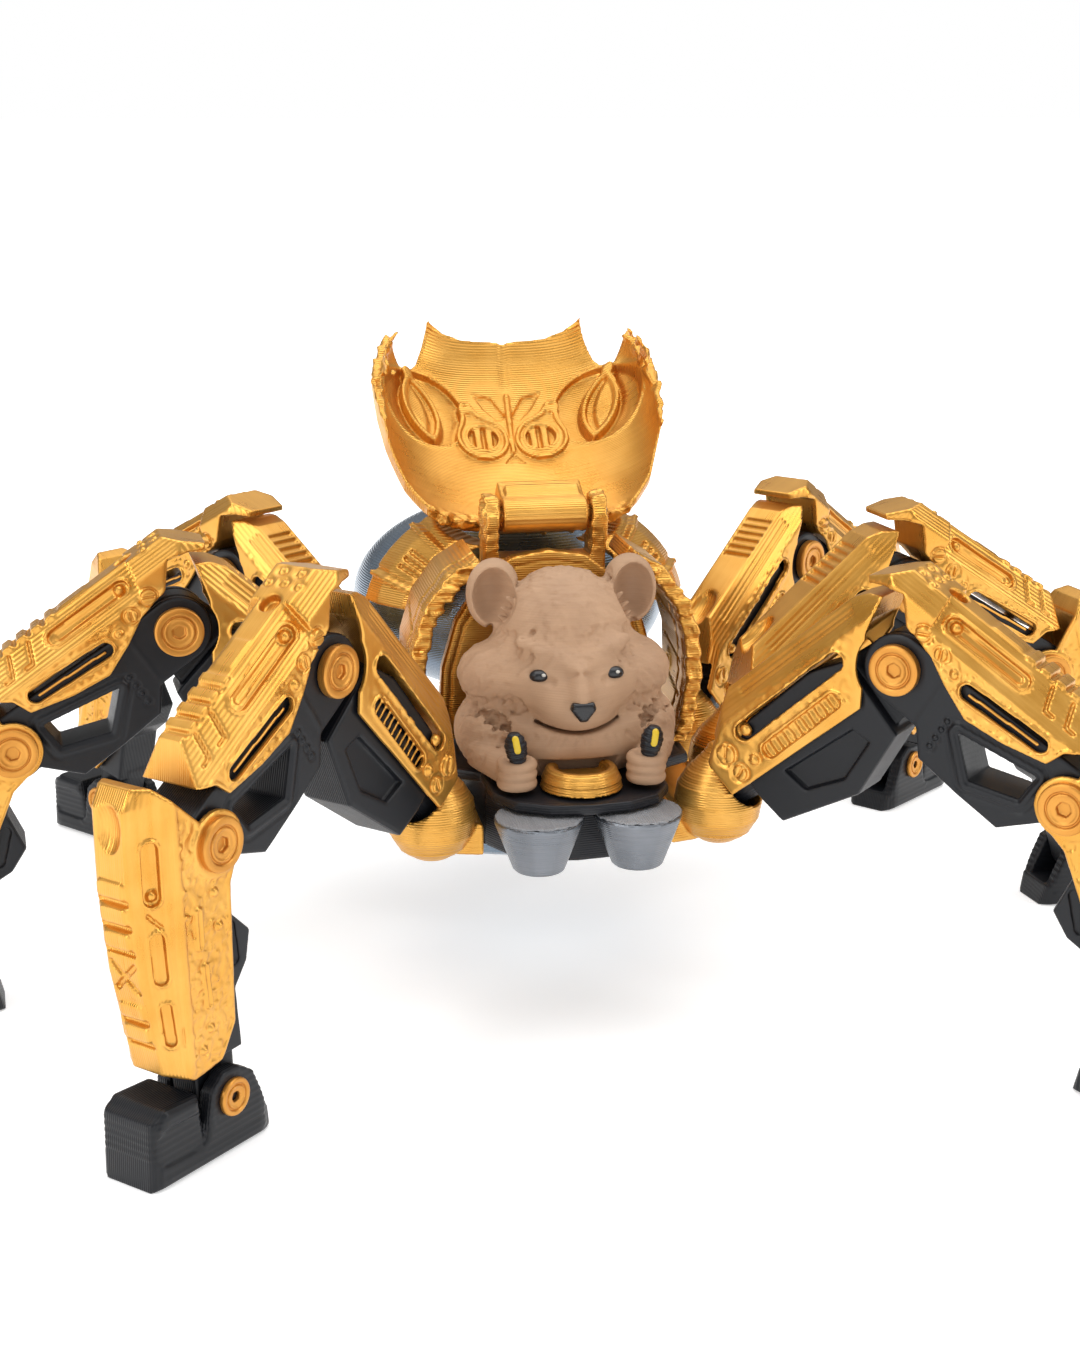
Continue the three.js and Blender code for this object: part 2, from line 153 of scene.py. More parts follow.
class Carving:
    """A box of voxels round one piece, with coordinate arrays x, y and z and the distance field d."""

    def __init__(self, low, high, voxel):
        self.voxel = voxel
        self.low = np.array(low, float) - 2.5 * voxel
        counts = np.ceil((np.array(high, float) + 2.5 * voxel - self.low) / voxel).astype(int) + 1
        axes = [(self.low[i] + voxel * np.arange(counts[i])).astype(np.float32) for i in range(3)]
        self.x, self.y, self.z = axes[0][:, None, None], axes[1][None, :, None], axes[2][None, None, :]
        self.shape = tuple(counts)
        self.d = np.full(self.shape, 5, np.float32)

    def add(self, shape, r=0.0):
        self.d = smooth_min(self.d, shape, r)

    def cut(self, shape, r=0.0):
        self.d = smooth_max(self.d, -shape, r)

    def keep(self, shape, r=0.0):
        self.d = smooth_max(self.d, shape, r)

    def emboss(self, face, shape, height, edge=0.12):
        """Raises (or, below zero, sinks) a flat shape on the face whose distance is `face`."""
        if height > 0:
            self.add(common(shape, face - height, -face - 0.7, r=edge), edge)
        else:
            self.cut(common(shape, -(face - height), r=edge), edge)

    def grain(self, passes=1):
        """Seeded rough noise of about unit height."""
        noise = rng.standard_normal(self.shape).astype(np.float32)
        for _ in range(passes):
            for axis in range(3):
                noise = (noise + np.roll(noise, 1, axis) + np.roll(noise, -1, axis)) / 1.9
        return noise

    def mesh(self, name):
        grid = openvdb.FloatGrid(1.0)
        limit = 3 * self.voxel
        field = np.clip(np.broadcast_to(self.d, self.shape), -limit, limit)
        grid.copyFromArray(np.ascontiguousarray(field, np.float32))
        points, triangles, quads = grid.convertToPolygons(isovalue=0.0, adaptivity=0.0)
        points = (points * self.voxel + self.low) * MM
        data = bpy.data.meshes.new(name)
        data.vertices.add(len(points))
        data.vertices.foreach_set("co", points.astype(np.float32).ravel())
        corners = np.concatenate([triangles.ravel(), quads.ravel()]).astype(np.int32)
        sizes = np.concatenate([np.full(len(triangles), 3), np.full(len(quads), 4)])
        data.loops.add(len(corners))
        data.loops.foreach_set("vertex_index", corners)
        data.polygons.add(len(sizes))
        data.polygons.foreach_set("loop_start", np.concatenate([[0], np.cumsum(sizes)[:-1]]).astype(np.int32))
        data.polygons.foreach_set("loop_total", sizes.astype(np.int32))
        data.update(calc_edges=True)
        data.validate()
        data.shade_smooth()
        return data


def place(name, data, matrix, body, nodes, slot, material):
    piece = bpy.data.objects.new(name, data)
    bpy.context.scene.collection.objects.link(piece)
    piece.matrix_world = matrix
    if not data.materials:
        data.materials.append(material)
    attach(piece, body)
    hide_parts(*nodes)
    return piece


# ---------- Materials ----------
LINE_PITCH, LINE_DEPTH = 0.3 * MM, 0.06 * MM
WAVE_SCALE = 2 * math.pi / 20            # a band texture of this scale repeats once a metre
ALONG_LINES, ACROSS_LINES = 90, 2600     # noise scales along the layer lines and across them


def add_node(tree, kind, inputs=(), links=(), **settings):
    """Adds a shader node with its settings, the values of its inputs and the sockets that feed it."""
    node = tree.nodes.new(f"ShaderNode{kind}")
    for name, value in settings.items():
        setattr(node, name, value)
    for name, value in dict(inputs).items():
        node.inputs[name].default_value = value
    for name, source in dict(links).items():
        tree.links.new(source, node.inputs[name])
    return node


def plastic(name, colour, dark, metallic, roughness, line_axis, line=0.35, shine=0.5, streaks=0.35):
    """Printed plastic with fine layer lines across one axis of the piece and a faint drift of tone."""
    material = bpy.data.materials.new(name)
    material.use_nodes = True
    tree = material.node_tree
    shader = tree.nodes["Principled BSDF"]
    shader.inputs["Metallic"].default_value = metallic
    shader.inputs["Specular IOR Level"].default_value = shine
    where = add_node(tree, "TexCoord").outputs["Object"]
    wave = add_node(tree, "TexWave", {"Scale": WAVE_SCALE / LINE_PITCH, "Distortion": 0.25, "Detail": 1,
                                      "Detail Scale": 1}, {"Vector": where},
                    wave_type="BANDS", bands_direction=line_axis)
    # streaks that run along the layers, and clouds
    scale = [ACROSS_LINES if axis == line_axis else ALONG_LINES for axis in "XYZ"]
    stretch = add_node(tree, "Mapping", {"Scale": scale}, {"Vector": where})
    streak = add_node(tree, "TexNoise", {"Scale": 1, "Detail": 3}, {"Vector": stretch.outputs["Vector"]})
    cloud = add_node(tree, "TexNoise", {"Scale": 160, "Detail": 4}, {"Vector": where})
    part = add_node(tree, "Math", {1: 1 - streaks}, {0: cloud.outputs["Fac"]}, operation="MULTIPLY")
    tone = add_node(tree, "Math", {1: streaks}, {0: streak.outputs["Fac"], 2: part.outputs["Value"]},
                    operation="MULTIPLY_ADD").outputs["Value"]
    ramp = add_node(tree, "ValToRGB", links={"Fac": tone})
    for stop, position, shade in zip(ramp.color_ramp.elements, (0.3, 0.64), (dark, colour)):
        stop.position = position
        stop.color = (*shade, 1)
    tree.links.new(ramp.outputs["Color"], shader.inputs["Base Color"])
    rough = add_node(tree, "MapRange", {"From Min": 0.3, "From Max": 0.7, "To Min": roughness - 0.06,
                                        "To Max": roughness + 0.08}, {"Value": tone})
    tree.links.new(rough.outputs["Result"], shader.inputs["Roughness"])
    bump = add_node(tree, "Bump", {"Strength": line, "Distance": LINE_DEPTH}, {"Height": wave.outputs["Fac"]})
    tree.links.new(bump.outputs["Normal"], shader.inputs["Normal"])
    return material


GOLD, GOLD_DEEP = (0.76, 0.405, 0.088), (0.62, 0.285, 0.04)
gold_across = plastic("gold_across", GOLD, GOLD_DEEP, 0.8, 0.3, "Y")
gold_level = plastic("gold_level", GOLD, GOLD_DEEP, 0.8, 0.3, "Z", line=0.6)
gold_pin = plastic("gold_pin", (0.66, 0.31, 0.06), (0.54, 0.22, 0.035), 0.75, 0.36, "Y", line=0.2)
black_across = plastic("black_across", (0.009, 0.010, 0.013), (0.005, 0.006, 0.008), 0.0, 0.38, "Y", line=0.6,
                       shine=0.32)
black_level = plastic("black_level", (0.013, 0.014, 0.018), (0.008, 0.009, 0.012), 0.0, 0.38, "Z", line=0.6,
                      shine=0.32)
silver_level = plastic("silver_level", (0.225, 0.24, 0.265), (0.15, 0.165, 0.185), 0.9, 0.27, "Z", line=0.35)
silver_flat = plastic("silver_flat", (0.29, 0.295, 0.31), (0.2, 0.205, 0.22), 0.25, 0.55, "X", line=0.6)
steel_level = plastic("steel_level", (0.24, 0.31, 0.385), (0.16, 0.21, 0.28), 0.88, 0.24, "Z", line=0.45)
fur = plastic("fur", (0.47, 0.295, 0.18), (0.37, 0.225, 0.135), 0.0, 0.66, "Z", line=0.2, shine=0.3,
              streaks=0.2)
nose_black = plastic("nose_black", (0.012, 0.012, 0.014), (0.008, 0.008, 0.01), 0.0, 0.28, "Z", line=0.1)
eye_white = plastic("eye_white", (0.62, 0.6, 0.55), (0.5, 0.48, 0.44), 0.0, 0.4, "Z", line=0.1)
paint_yellow = plastic("paint_yellow", (0.72, 0.5, 0.02), (0.6, 0.4, 0.015), 0.0, 0.4, "Z", line=0.1)

GOLD_LOOK, BLACK_LOOK = ("gold_plastic", gold_across), ("black_plastic", black_across)


# ---------- Leg pieces, each in the frame of its own segment ----------
# X runs from the near pin to the far pin, Y along the pins and Z towards the outside.
def screw_head(c, face, p, q, x, y, r, turn=0.0, height=0.3):
    """A slotted screw head in a shallow ring."""
    c.emboss(face, disc(p, q, x, y, r + 0.35), -0.22)
    c.emboss(face, disc(p, q, x, y, r), height)
    dx, dy = math.cos(turn) * r * 1.2, math.sin(turn) * r * 1.2
    c.emboss(face, stadium(p, q, (x - dx, y - dy), (x + dx, y + dy), 0.14), -0.1)


def rivet(c, face, p, q, x, y, r):
    c.emboss(face, disc(p, q, x, y, r + 0.25), -0.15)
    c.add(c_sphere(face, p, q, x, y, r), 0.1)


def c_sphere(face, p, q, x, y, r):
    return np.sqrt((p - x) ** 2 + (q - y) ** 2 + (face + 0.15) ** 2) - r


def framed_slot(c, face, p, q, start, end, r, depth=0.7, rim=0.0):
    if rim:
        c.emboss(face, stadium(p, q, start, end, r + rim), 0.25)
    c.emboss(face, stadium(p, q, start, end, r), -depth, 0.15)


def bevel_plane(c, inner, drop, top):
    """Distance to the sloping facet from (inner, top) down to (COVER_HALF, top - drop) on both sides."""
    wide = COVER_HALF - inner
    length = np.hypot(wide, drop)
    return ((np.abs(c.y) - inner) * drop + (c.z - top) * wide) / length


def along_bevel(c, inner, drop, top):
    """How far down the sloping facet a point is."""
    wide = COVER_HALF - inner
    length = np.hypot(wide, drop)
    return ((np.abs(c.y) - inner) * wide - (c.z - top) * drop) / length


def channel(c, ceiling, edge=0.2):
    return extruded(c.z - ceiling, np.abs(c.y) - CHANNEL_HALF, edge)


def hip_link_carving():
    c = Carving((-4, -3.7, -9.8), (HIP + KNUCKLE, 3.7, 6.1), FINE)
    body = polygon(c.x, c.z, [(7.2, -3), (8, -7.2), (19, -9.7), (28, -6.4), (28, 4.4), (23, 6), (12, 5.6),
                              (7.2, 3)])
    window = polygon(c.x, c.z, [(12.5, -2.2), (23.5, -2.8), (24.4, -5.2), (18.6, -7.2), (13.4, -5.6)])
    c.add(extruded(body + waves(body, 0.9, 0.07), np.abs(c.y) - LINK_HALF, 0.5))
    c.emboss(np.abs(c.y) - LINK_HALF, window, -0.9, 0.3)
    tongue = union(polygon(c.x, c.z, [(27, -5.6), (HIP, -KNUCKLE), (HIP, KNUCKLE), (27, 4.6)]),
                   disc(c.x, c.z, HIP, 0, KNUCKLE))
    c.add(extruded(tongue, np.abs(c.y) - TONGUE_HALF, 0.3), 0.4)
    c.cut(disc(c.x, c.z, HIP, 0, 1.9))
    c.add(capsule(c.x, c.y, c.z, (0, 0, 0), (8.5, 0, -0.4), 2.1, 2.5), 0.5)
    c.add(np.sqrt(c.x ** 2 + c.y ** 2 + c.z ** 2) - 3.95, 0.3)
    return c


def hip_cover_carving():
    c = Carving((4, -4.9, -1.6), (37.2, 4.9, 10.8), FINE)
    side = polygon(c.x, c.z, [(4.7, -1), (4.2, 4.4), (12, 10.4), (33.3, 10), (35.4, 9.2), (37, 7.8),
                              (32.6, 5.4),
                              (26.4, -1.4)])
    c.add(extruded(side, np.abs(c.y) - COVER_HALF, 0.3))
    top = c.z - 10.2
    slope = bevel_plane(c, 2.6, 3.6, 10.2)
    c.keep(slope, 0.15)
    # the front slope near the ball falls away on both sides too
    c.keep((np.abs(c.y) - 3.2) * 0.8 + (c.z - 5.2 - (c.x - 4.2) * 0.66) * 0.6, 0.2)
    flank = np.abs(c.y) - COVER_HALF
    down = along_bevel(c, 2.6, 3.6, 10.2)
    # lines along the bevel
    for offset in (0.9, 1.6, 2.3):
        c.emboss(slope, np.maximum(np.abs(down - offset) - 0.13, np.abs(c.x - 23) - 9.5), -0.16)
    # long stadium slot with a dot at its lower end, then two screws, then the lower window slot
    framed_slot(c, flank, c.x, c.z, (11.4, 4.6), (27.2, 4.9), 1.15, 0.6, 0.3)
    c.emboss(flank, stadium(c.x, c.z, (11.4, 4.6), (27.2, 4.9), 0.5), -0.9)
    rivet(c, flank + 0.5, c.x, c.z, 11.6, 4.6, 0.85)
    screw_head(c, flank, c.x, c.z, 7.4, 3.6, 1.25, 0.9)
    screw_head(c, flank, c.x, c.z, 7.6, 0.7, 0.95, 0.4)
    rivet(c, flank, c.x, c.z, 10.4, 1.0, 0.7)
    framed_slot(c, flank, c.x, c.z, (13, 0.9), (24, 1.2), 1.05, 0.55, 0.3)
    ribs = np.abs(np.mod(c.x, 1.1) - 0.55) - 0.2
    c.emboss(flank + 0.55, common(ribs, stadium(c.x, c.z, (13, 0.9), (24, 1.2), 0.95)), 0.25)
    # transverse ribs and an oval dent on the top
    for index in range(6):
        groove = rectangle(c.x, c.y, 24.2 + index * 1.35, 0, 0.34, 2.15)
        c.emboss(top, groove, -0.55)
    c.cut(ellipsoid(c.x, c.y, c.z, (13.6, 0, 10.4), (3.4, 1.7, 1.3)), 0.3)
    c.cut(channel(c, 6.4))
    c.cut(disc(c.x, c.z, HIP, 0, KNUCKLE + 0.7))
    rough = common(side + 1.4, c.z - 7.2)
    c.d = c.d + 0.035 * c.grain() * (rough < 0) * (np.abs(flank) < 0.4)
    return c


def thigh_link_carving():
    c = Carving((-KNUCKLE - 0.2, -3.8, -8.4), (THIGH + KNUCKLE + 0.2, 3.8, 4.4), FINE)
    body = polygon(c.x, c.z, [(5, 4), (5, -3.6), (8, -7.5), (14, -8), (20.2, -8.2), (24, -4),
                              (THIGH, -KNUCKLE),
                              (THIGH, KNUCKLE), (21, 4.2)])
    body = union(body, disc(c.x, c.z, THIGH, 0, KNUCKLE))
    ear = union(polygon(c.x, c.z, [(0, KNUCKLE), (0, -KNUCKLE), (6, -4.4), (6, 4)]),
                disc(c.x, c.z, 0, 0, KNUCKLE))
    window = polygon(c.x, c.z, [(10.2, -1.6), (20.4, 0.2), (20.2, -3.4), (14.4, -5.6)])
    side = np.abs(c.y) - LINK_HALF
    c.add(extruded(body + waves(body, 0.85, 0.06), side, 0.5))
    c.add(extruded(ear, np.maximum(side, EAR_INNER - np.abs(c.y)), 0.3), 0.2)
    c.cut(window, 0.3)
    c.emboss(side, np.abs(window - 0.75) - 0.3, 0.18)
    c.emboss(side, np.abs(window - 1.6) - 0.16, -0.2)
    for z in (-1.2, -2.5, -3.8, -5.1):
        rivet(c, side, c.x, c.z, 8.4, z, 0.42)
    c.cut(disc(c.x, c.z, THIGH, 0, 1.9))
    c.add(extruded(disc(c.x, c.z, 0, 0, 1.45), side))
    return c


def pin_head_carving(radius, thick):
    """A round pin head with a ring and a recess, lying in X and Z with its face towards +Y."""
    c = Carving((-radius, -thick, -radius), (radius, 0.1, radius), FINE * 0.7)
    round_ = disc(c.x, c.z, 0, 0, radius)
    c.add(extruded(round_, np.maximum(c.y, -thick - c.y), 0.25))
    c.emboss(c.y, np.abs(disc(c.x, c.z, 0, 0, radius * 0.66)) - 0.13, -0.3, 0.06)
    c.emboss(c.y, disc(c.x, c.z, 0, 0, radius * 0.52), -0.16, 0.1)
    hexagon = [(radius * 0.3 * math.cos(a), radius * 0.3 * math.sin(a)) for a in np.arange(6) * math.pi / 3]
    c.emboss(c.y, polygon(c.x, c.z, hexagon), -0.75, 0.06)
    return c


def thigh_cover_carving():
    c = Carving((-9.4, -4.9, 0.4), (23.6, 4.9, 11.2), FINE)
    outline = [(-9.2, 6.9), (-5.2, 10.8), (20.4, 10.2), (23.4, 6.4), (21.4, 5), (20.5, 2.6), (15.1, 1.2),
               (10, 0.6),
               (5.8, 2.4), (2.6, 4.2), (-1.7, 5.2), (-4.2, 8.2), (-6.6, 7.5), (-8.6, 6.3)]
    side = polygon(c.x, c.z, outline)
    c.add(extruded(side, np.abs(c.y) - COVER_HALF, 0.25))
    ridge = 10.7 - (c.x + 5.2) * 0.0234
    slope = bevel_plane(c, 1.7, 4.4, ridge)
    down = along_bevel(c, 1.7, 4.4, ridge)
    top = c.z - ridge
    flank = np.abs(c.y) - COVER_HALF
    # the cap keeps its full width, the rest falls away in a long facet
    on_cap = (c.x + 0.4 - 0.25 * np.abs(c.y)) * 0.9
    c.keep(union(slope, on_cap), 0.12)
    cap_slope = bevel_plane(c, 2.9, 2.2, ridge)
    c.keep(cap_slope, 0.15)
    # beak: shoulders narrow towards the tip
    c.keep((np.abs(c.y) - 4.6 - (c.x + 5.6) * 0.42) * 0.92, 0.2)
    c.emboss(top + 0.35, disc(c.x, c.y, 0.4, 0, 1.25), -0.75, 0.3)
    for x, y in ((-4.3, 1.3), (-2.4, 2.2), (-2.6, 0.0)):
        rivet(c, top, c.x, np.abs(c.y), x, y, 0.5)
    # long slot on the facet, with a rim, a dot at its upper end and a step inside
    framed_slot(c, slope, c.x, down, (2.6, 2.4), (12.6, 2.4), 1.0, 0.6, 0.32)
    c.emboss(slope, stadium(c.x, down, (3.2, 2.4), (12.2, 2.4), 0.45), -0.85)
    rivet(c, slope + 0.35, c.x, down, 2.9, 2.4, 0.72)
    # raised blocks and notches across the ridge
    c.emboss(top, rectangle(c.x, c.y, 8.2, 0, 2.1, 1.25), 0.28)
    for index in range(4):
        c.emboss(top, rectangle(c.x, c.y, 11.8 + index * 2.15, 0, 0.62, 1.9), 0.32)
        c.emboss(top, rectangle(c.x, c.y, 12.9 + index * 2.15, 0, 0.3, 1.7), -0.3)
    # bent grooves near the far end of the facet
    for x in (15.6, 18.6):
        c.emboss(slope, union(stadium(c.x, down, (x, 0.7), (x + 1.1, 3.4), 0.2),
                              stadium(c.x, down, (x + 1.1, 3.4), (x + 2.2, 3.4), 0.2)), -0.4)
    # flank: screws, a rivet and a dark slot with an inner ridge on a stippled ground
    low_flank = common(c.z - 6.0, side + 0.45)
    c.emboss(flank, low_flank, -0.14, 0.05)
    c.d = c.d + 0.07 * c.grain() * ((low_flank < 0) & (flank > -0.6))
    screw_head(c, flank + 0.1, c.x, c.z, 0.4, 5.9, 0.95, 0.5, 0.34)
    screw_head(c, flank + 0.1, c.x, c.z, 3.5, 5.2, 0.8, 1.9, 0.34)
    rivet(c, flank + 0.1, c.x, c.z, 6.1, 4.3, 0.6)
    framed_slot(c, flank, c.x, c.z, (8.6, 3.6), (18.6, 4.1), 1.0, 0.75, 0.28)
    c.emboss(flank + 0.75, stadium(c.x, c.z, (8.8, 3.3), (18.4, 3.8), 0.22), 0.45)
    c.cut(channel(c, 4.6))
    return c


def shin_link_carving():
    c = Carving((5, -3.7, -5.6), (SHIN + 3.2, 3.7, 5.9), FINE)
    body = polygon(c.x, c.z, [(5.2, 5.8), (5.2, -1.2), (8.5, -2), (12, -5.4), (15.5, -4.6), (18, -2.6),
                              (25.2, -3),
                              (25.2, 4)])
    side = np.abs(c.y) - LINK_HALF + 0.1
    c.add(extruded(body + waves(body, 0.8, 0.06), side, 0.5))
    tongue = union(polygon(c.x, c.z, [(24, -3), (SHIN, -3), (SHIN, 3), (24, 3.4)]),
                   disc(c.x, c.z, SHIN, 0, 3))
    c.add(extruded(tongue, np.abs(c.y) - TONGUE_HALF, 0.3), 0.3)
    c.cut(disc(c.x, c.z, SHIN, 0, 1.55))
    c.emboss(side, stadium(c.x, c.z, (10.6, -2.2), (14.6, -2.6), 0.7), -0.4)
    return c


def shin_cover_carving():
    half = COVER_HALF + 0.2
    c = Carving((-8.8, -5, -3.6), (25.7, 5, 11.6), FINE)
    outline = [(-8.3, 7.8), (-8.6, 9.6), (-6.4, 11), (3, 11.2), (12, 10.5), (24.4, 8.2), (25.5, 5.6),
               (24.8, 1.5),
               (21, -0.9), (5, -1.6), (2.4, -2.8), (0, -3.3), (-2.4, -2.2), (-3.3, 0), (-2.8, 2)]
    side = polygon(c.x, c.z, outline)
    c.add(extruded(side, np.abs(c.y) - half, 0.3))
    top_z = np.interp(c.x, [-8.6, -6.4, 3, 12, 24.4, 25.7], [9.9, 11, 11.2, 10.5, 8.2,
                                                             6.4]).astype(np.float32)
    drop = np.maximum(top_z - 6.5, 1.2)
    slope = bevel_plane(c, 2.2, drop, top_z)
    middle = np.hypot(COVER_HALF - 2.2, drop) / 2
    down = along_bevel(c, 2.2, drop, top_z) - middle
    c.keep(slope, 0.15)
    top = c.z - top_z
    flank = np.abs(c.y) - half
    # far end: both sides draw in a little
    c.keep((np.abs(c.y) - 4.3 - (25.6 - c.x) * 0.3) * 0.95, 0.25)
    # near end: rounded shoulders
    c.keep((np.abs(c.y) - 3.4 - (c.x + 8.6) * 0.7) * 0.82, 0.3)
    # an oval recess, three bars, a pair of crosses and two more bars down the outer face
    c.cut(ellipsoid(c.x, c.y, c.z, (-4.4, 0, 11.5), (2.9, 1.75, 1.5)), 0.25)
    for x in (2.2, 5.1, 8.0):
        c.emboss(top, rectangle(c.x, c.y, x, 0, 0.95, 1.9, 0.5), 0.38, 0.2)
        c.emboss(top, rectangle(c.x, c.y, x + 1.45, 0, 0.32, 2.1), -0.5, 0.2)
    for turn in (-1, 1):
        c.emboss(top, stadium(c.x, c.y, (10.9, -1.6 * turn), (14.1, 1.6 * turn), 0.3), -0.45, 0.15)
    for x in (16.6, 19.4):
        c.emboss(top, rectangle(c.x, c.y, x, 0, 0.9, 1.8, 0.5), 0.36, 0.2)
        c.emboss(top, rectangle(c.x, c.y, x + 1.4, 0, 0.3, 1.9), -0.5, 0.2)
    # three slots down each facet
    for start, end, r in ((-1.8, 3.4, 0.95), (8.2, 12.6, 0.8), (16.2, 20.2, 0.62)):
        framed_slot(c, slope, c.x, down, (start, 0), (end, 0), r, 0.5, 0.3)
    rivet(c, slope + 0.3, c.x, down, 3.2, 0, 0.6)
    c.emboss(slope, stadium(c.x, down, (5.3, -0.7), (6.9, 0.7), 0.2), -0.35)
    c.emboss(slope, np.maximum(np.abs(down - middle + 0.35) - 0.14, np.abs(c.x - 8) - 13), -0.2)
    # rough flanks with small raised details
    low_flank = common(c.z - 5.6, side + 0.5, -disc(c.x, c.z, 0, 0, 3.9))
    c.emboss(flank, low_flank, -0.14, 0.05)
    c.d = c.d + 0.08 * c.grain() * ((low_flank < 0) & (flank > -0.6))
    for start, end, r in (((6.5, 3.7), (10.5, 3.7), 0.5), ((13, 3.2), (17.5, 3), 0.45)):
        c.emboss(flank, stadium(c.x, c.z, start, end, r), 0.28)
        c.emboss(flank, stadium(c.x, c.z, start, end, r * 0.45), -0.1)
    for x, z in ((5.2, 1.0), (9.2, 0.6), (20.3, 2.9), (22.4, 4.2)):
        rivet(c, flank + 0.1, c.x, c.z, x, z, 0.55)
    c.emboss(flank, disc(c.x, c.z, 0, 0, 3.7), 0.12)
    c.cut(channel(c, 6.2))
    c.add(extruded(disc(c.x, c.z, 0, 0, 1.45), flank))
    return c


def foot_carving():
    c = Carving((-7.4, -4.4, -ANKLE_HEIGHT), (12.4, 4.4, 3.4), FINE)
    shoe = polygon(c.x, c.z, [(-7.2, -ANKLE_HEIGHT), (12.2, -ANKLE_HEIGHT), (12, 1), (10, 2.3), (4.9, 2),
                              (4, -3.7),
                              (-6.4, -3.7)])
    ear = polygon(c.x, c.z, [(-6.2, -4.2), (-3.6, 1.6), (-1.2, 3.2), (1.2, 3.2), (3.1, 1.6), (4.4, -4.2)])
    c.add(extruded(shoe, np.abs(c.y) - 4.2, 1.1))
    c.add(extruded(ear, np.maximum(np.abs(c.y) - 4.2, EAR_INNER - np.abs(c.y)), 0.4), 0.5)
    c.keep((np.abs(c.y) - 3.5 - (12.3 - c.x) * 0.5) * 0.89, 0.5)       # the toe's corners draw in
    c.keep((np.abs(c.y) - 2.9 - (c.x + 7.3) * 0.6) * 0.86, 0.5)        # and the heel's
    c.emboss(np.abs(c.y) - 4.2, stadium(c.x, c.z, (6, -2.2), (9.4, -2.0), 2.2), -0.35, 0.5)
    contour = common(shoe, c.z + 3.2)
    c.d = c.d + waves(contour, 0.8, 0.045)
    c.add(extruded(disc(c.x, c.z, 0, 0, 1.15), np.abs(c.y) - 4))
    c.keep(-(c.z + ANKLE_HEIGHT))
    return c


def segment_matrix(near, far, axis):
    x = (far - near).normalized()
    y = -axis.normalized()
    z = x.cross(y).normalized()
    y = z.cross(x)
    m = Matrix((x, y, z)).transposed().to_4x4()
    m.translation = near
    return m


def build_legs():
    hip_link = hip_link_carving().mesh("hip_link")
    hip_cover = hip_cover_carving().mesh("hip_cover")
    thigh_link = thigh_link_carving().mesh("thigh_link")
    thigh_cover = thigh_cover_carving().mesh("thigh_cover")
    shin_link = shin_link_carving().mesh("shin_link")
    shin_cover = shin_cover_carving().mesh("shin_cover")
    foot = foot_carving().mesh("foot")
    head = pin_head_carving(DISC, DISC_HALF - LINK_HALF - 0.05).mesh("pin_head")
    small_head = pin_head_carving(2.2, 0.75).mesh("ankle_pin_head")
    for leg in LEG_NAMES:
        hip = Vector(JOINTS[f"{leg}_hip_swing"]["pos_m"])
        knee = Vector(JOINTS[f"{leg}_knee"]["pos_m"])
        pin = Vector(JOINTS[f"{leg}_shin_hinge"]["pos_m"])
        ankle = Vector(JOINTS[f"{leg}_ankle"]["pos_m"])
        axis = Vector(JOINTS[f"{leg}_knee"]["axis"])
        hip_m, thigh_m, shin_m = (segment_matrix(a, b, axis) for a, b in ((hip, knee), (knee, pin),
                                                                          (pin, ankle)))
        outwards = (-axis.normalized()).cross(Vector((0, 0, 1)))
        foot_m = segment_matrix(ankle, ankle + outwards, axis)
        pieces = (("hip_bracket", hip_link, hip_m, "hip", "hip_link", BLACK_LOOK),
                  ("hip_armour", hip_cover, hip_m, "hip", "hip_cover", GOLD_LOOK),
                  ("thigh_frame", thigh_link, thigh_m, "thigh", "thigh_link", BLACK_LOOK),
                  ("thigh_armour", thigh_cover, thigh_m, "thigh", "thigh_cover", GOLD_LOOK),
                  ("shin_frame", shin_link, shin_m, "shin", "shin_link", BLACK_LOOK),
                  ("shin_armour", shin_cover, shin_m, "shin", "shin_cover", GOLD_LOOK),
                  ("shoe", foot, foot_m, "sole", "foot", BLACK_LOOK))
        for name, data, m, body, node, look in pieces:
            place(f"{leg}_{name}", data, m, f"{leg}_{body}", [f"{leg}_{node}"], *look)
        pins = (("knee", head, thigh_m, DISC_HALF, "thigh", "thigh_link"),
                ("shin", head, shin_m, 5.6, "shin", "shin_cover"),
                ("ankle", small_head, foot_m, 4.9, "sole", "foot"))
        for label, data, m, reach, body, node in pins:
            for side, turn in (("a", 0), ("b", math.pi)):
                spot = m @ Matrix.Rotation(turn, 4, "Z") @ Matrix.Translation(Vector((0, reach, 0)) * MM)
                place(f"{leg}_{label}_pin_{side}", data, spot, f"{leg}_{body}", [f"{leg}_{node}"],
                      "gold_plastic", gold_pin)


build_legs()


# ---------- Body pieces, in the body's own frame ----------
def smooth_step(value, low, high):
    t = np.clip((value - low) / (high - low), 0, 1)
    return t * t * (3 - 2 * t)


def mirrored(half):
    return half + [(-x, y) for x, y in reversed(half) if x > 0]


def neck_directions():
    """For each leg: its pod's centre and the way its neck leaves, in the body's own frame."""
    found = {}
    for leg in LEG_NAMES:
        hip = (Vector(JOINTS[f"{leg}_hip_swing"]["pos_m"]) - body_origin) / MM
        knee = (Vector(JOINTS[f"{leg}_knee"]["pos_m"]) - body_origin) / MM
        found[leg] = hip, (knee - hip).normalized()
    return found


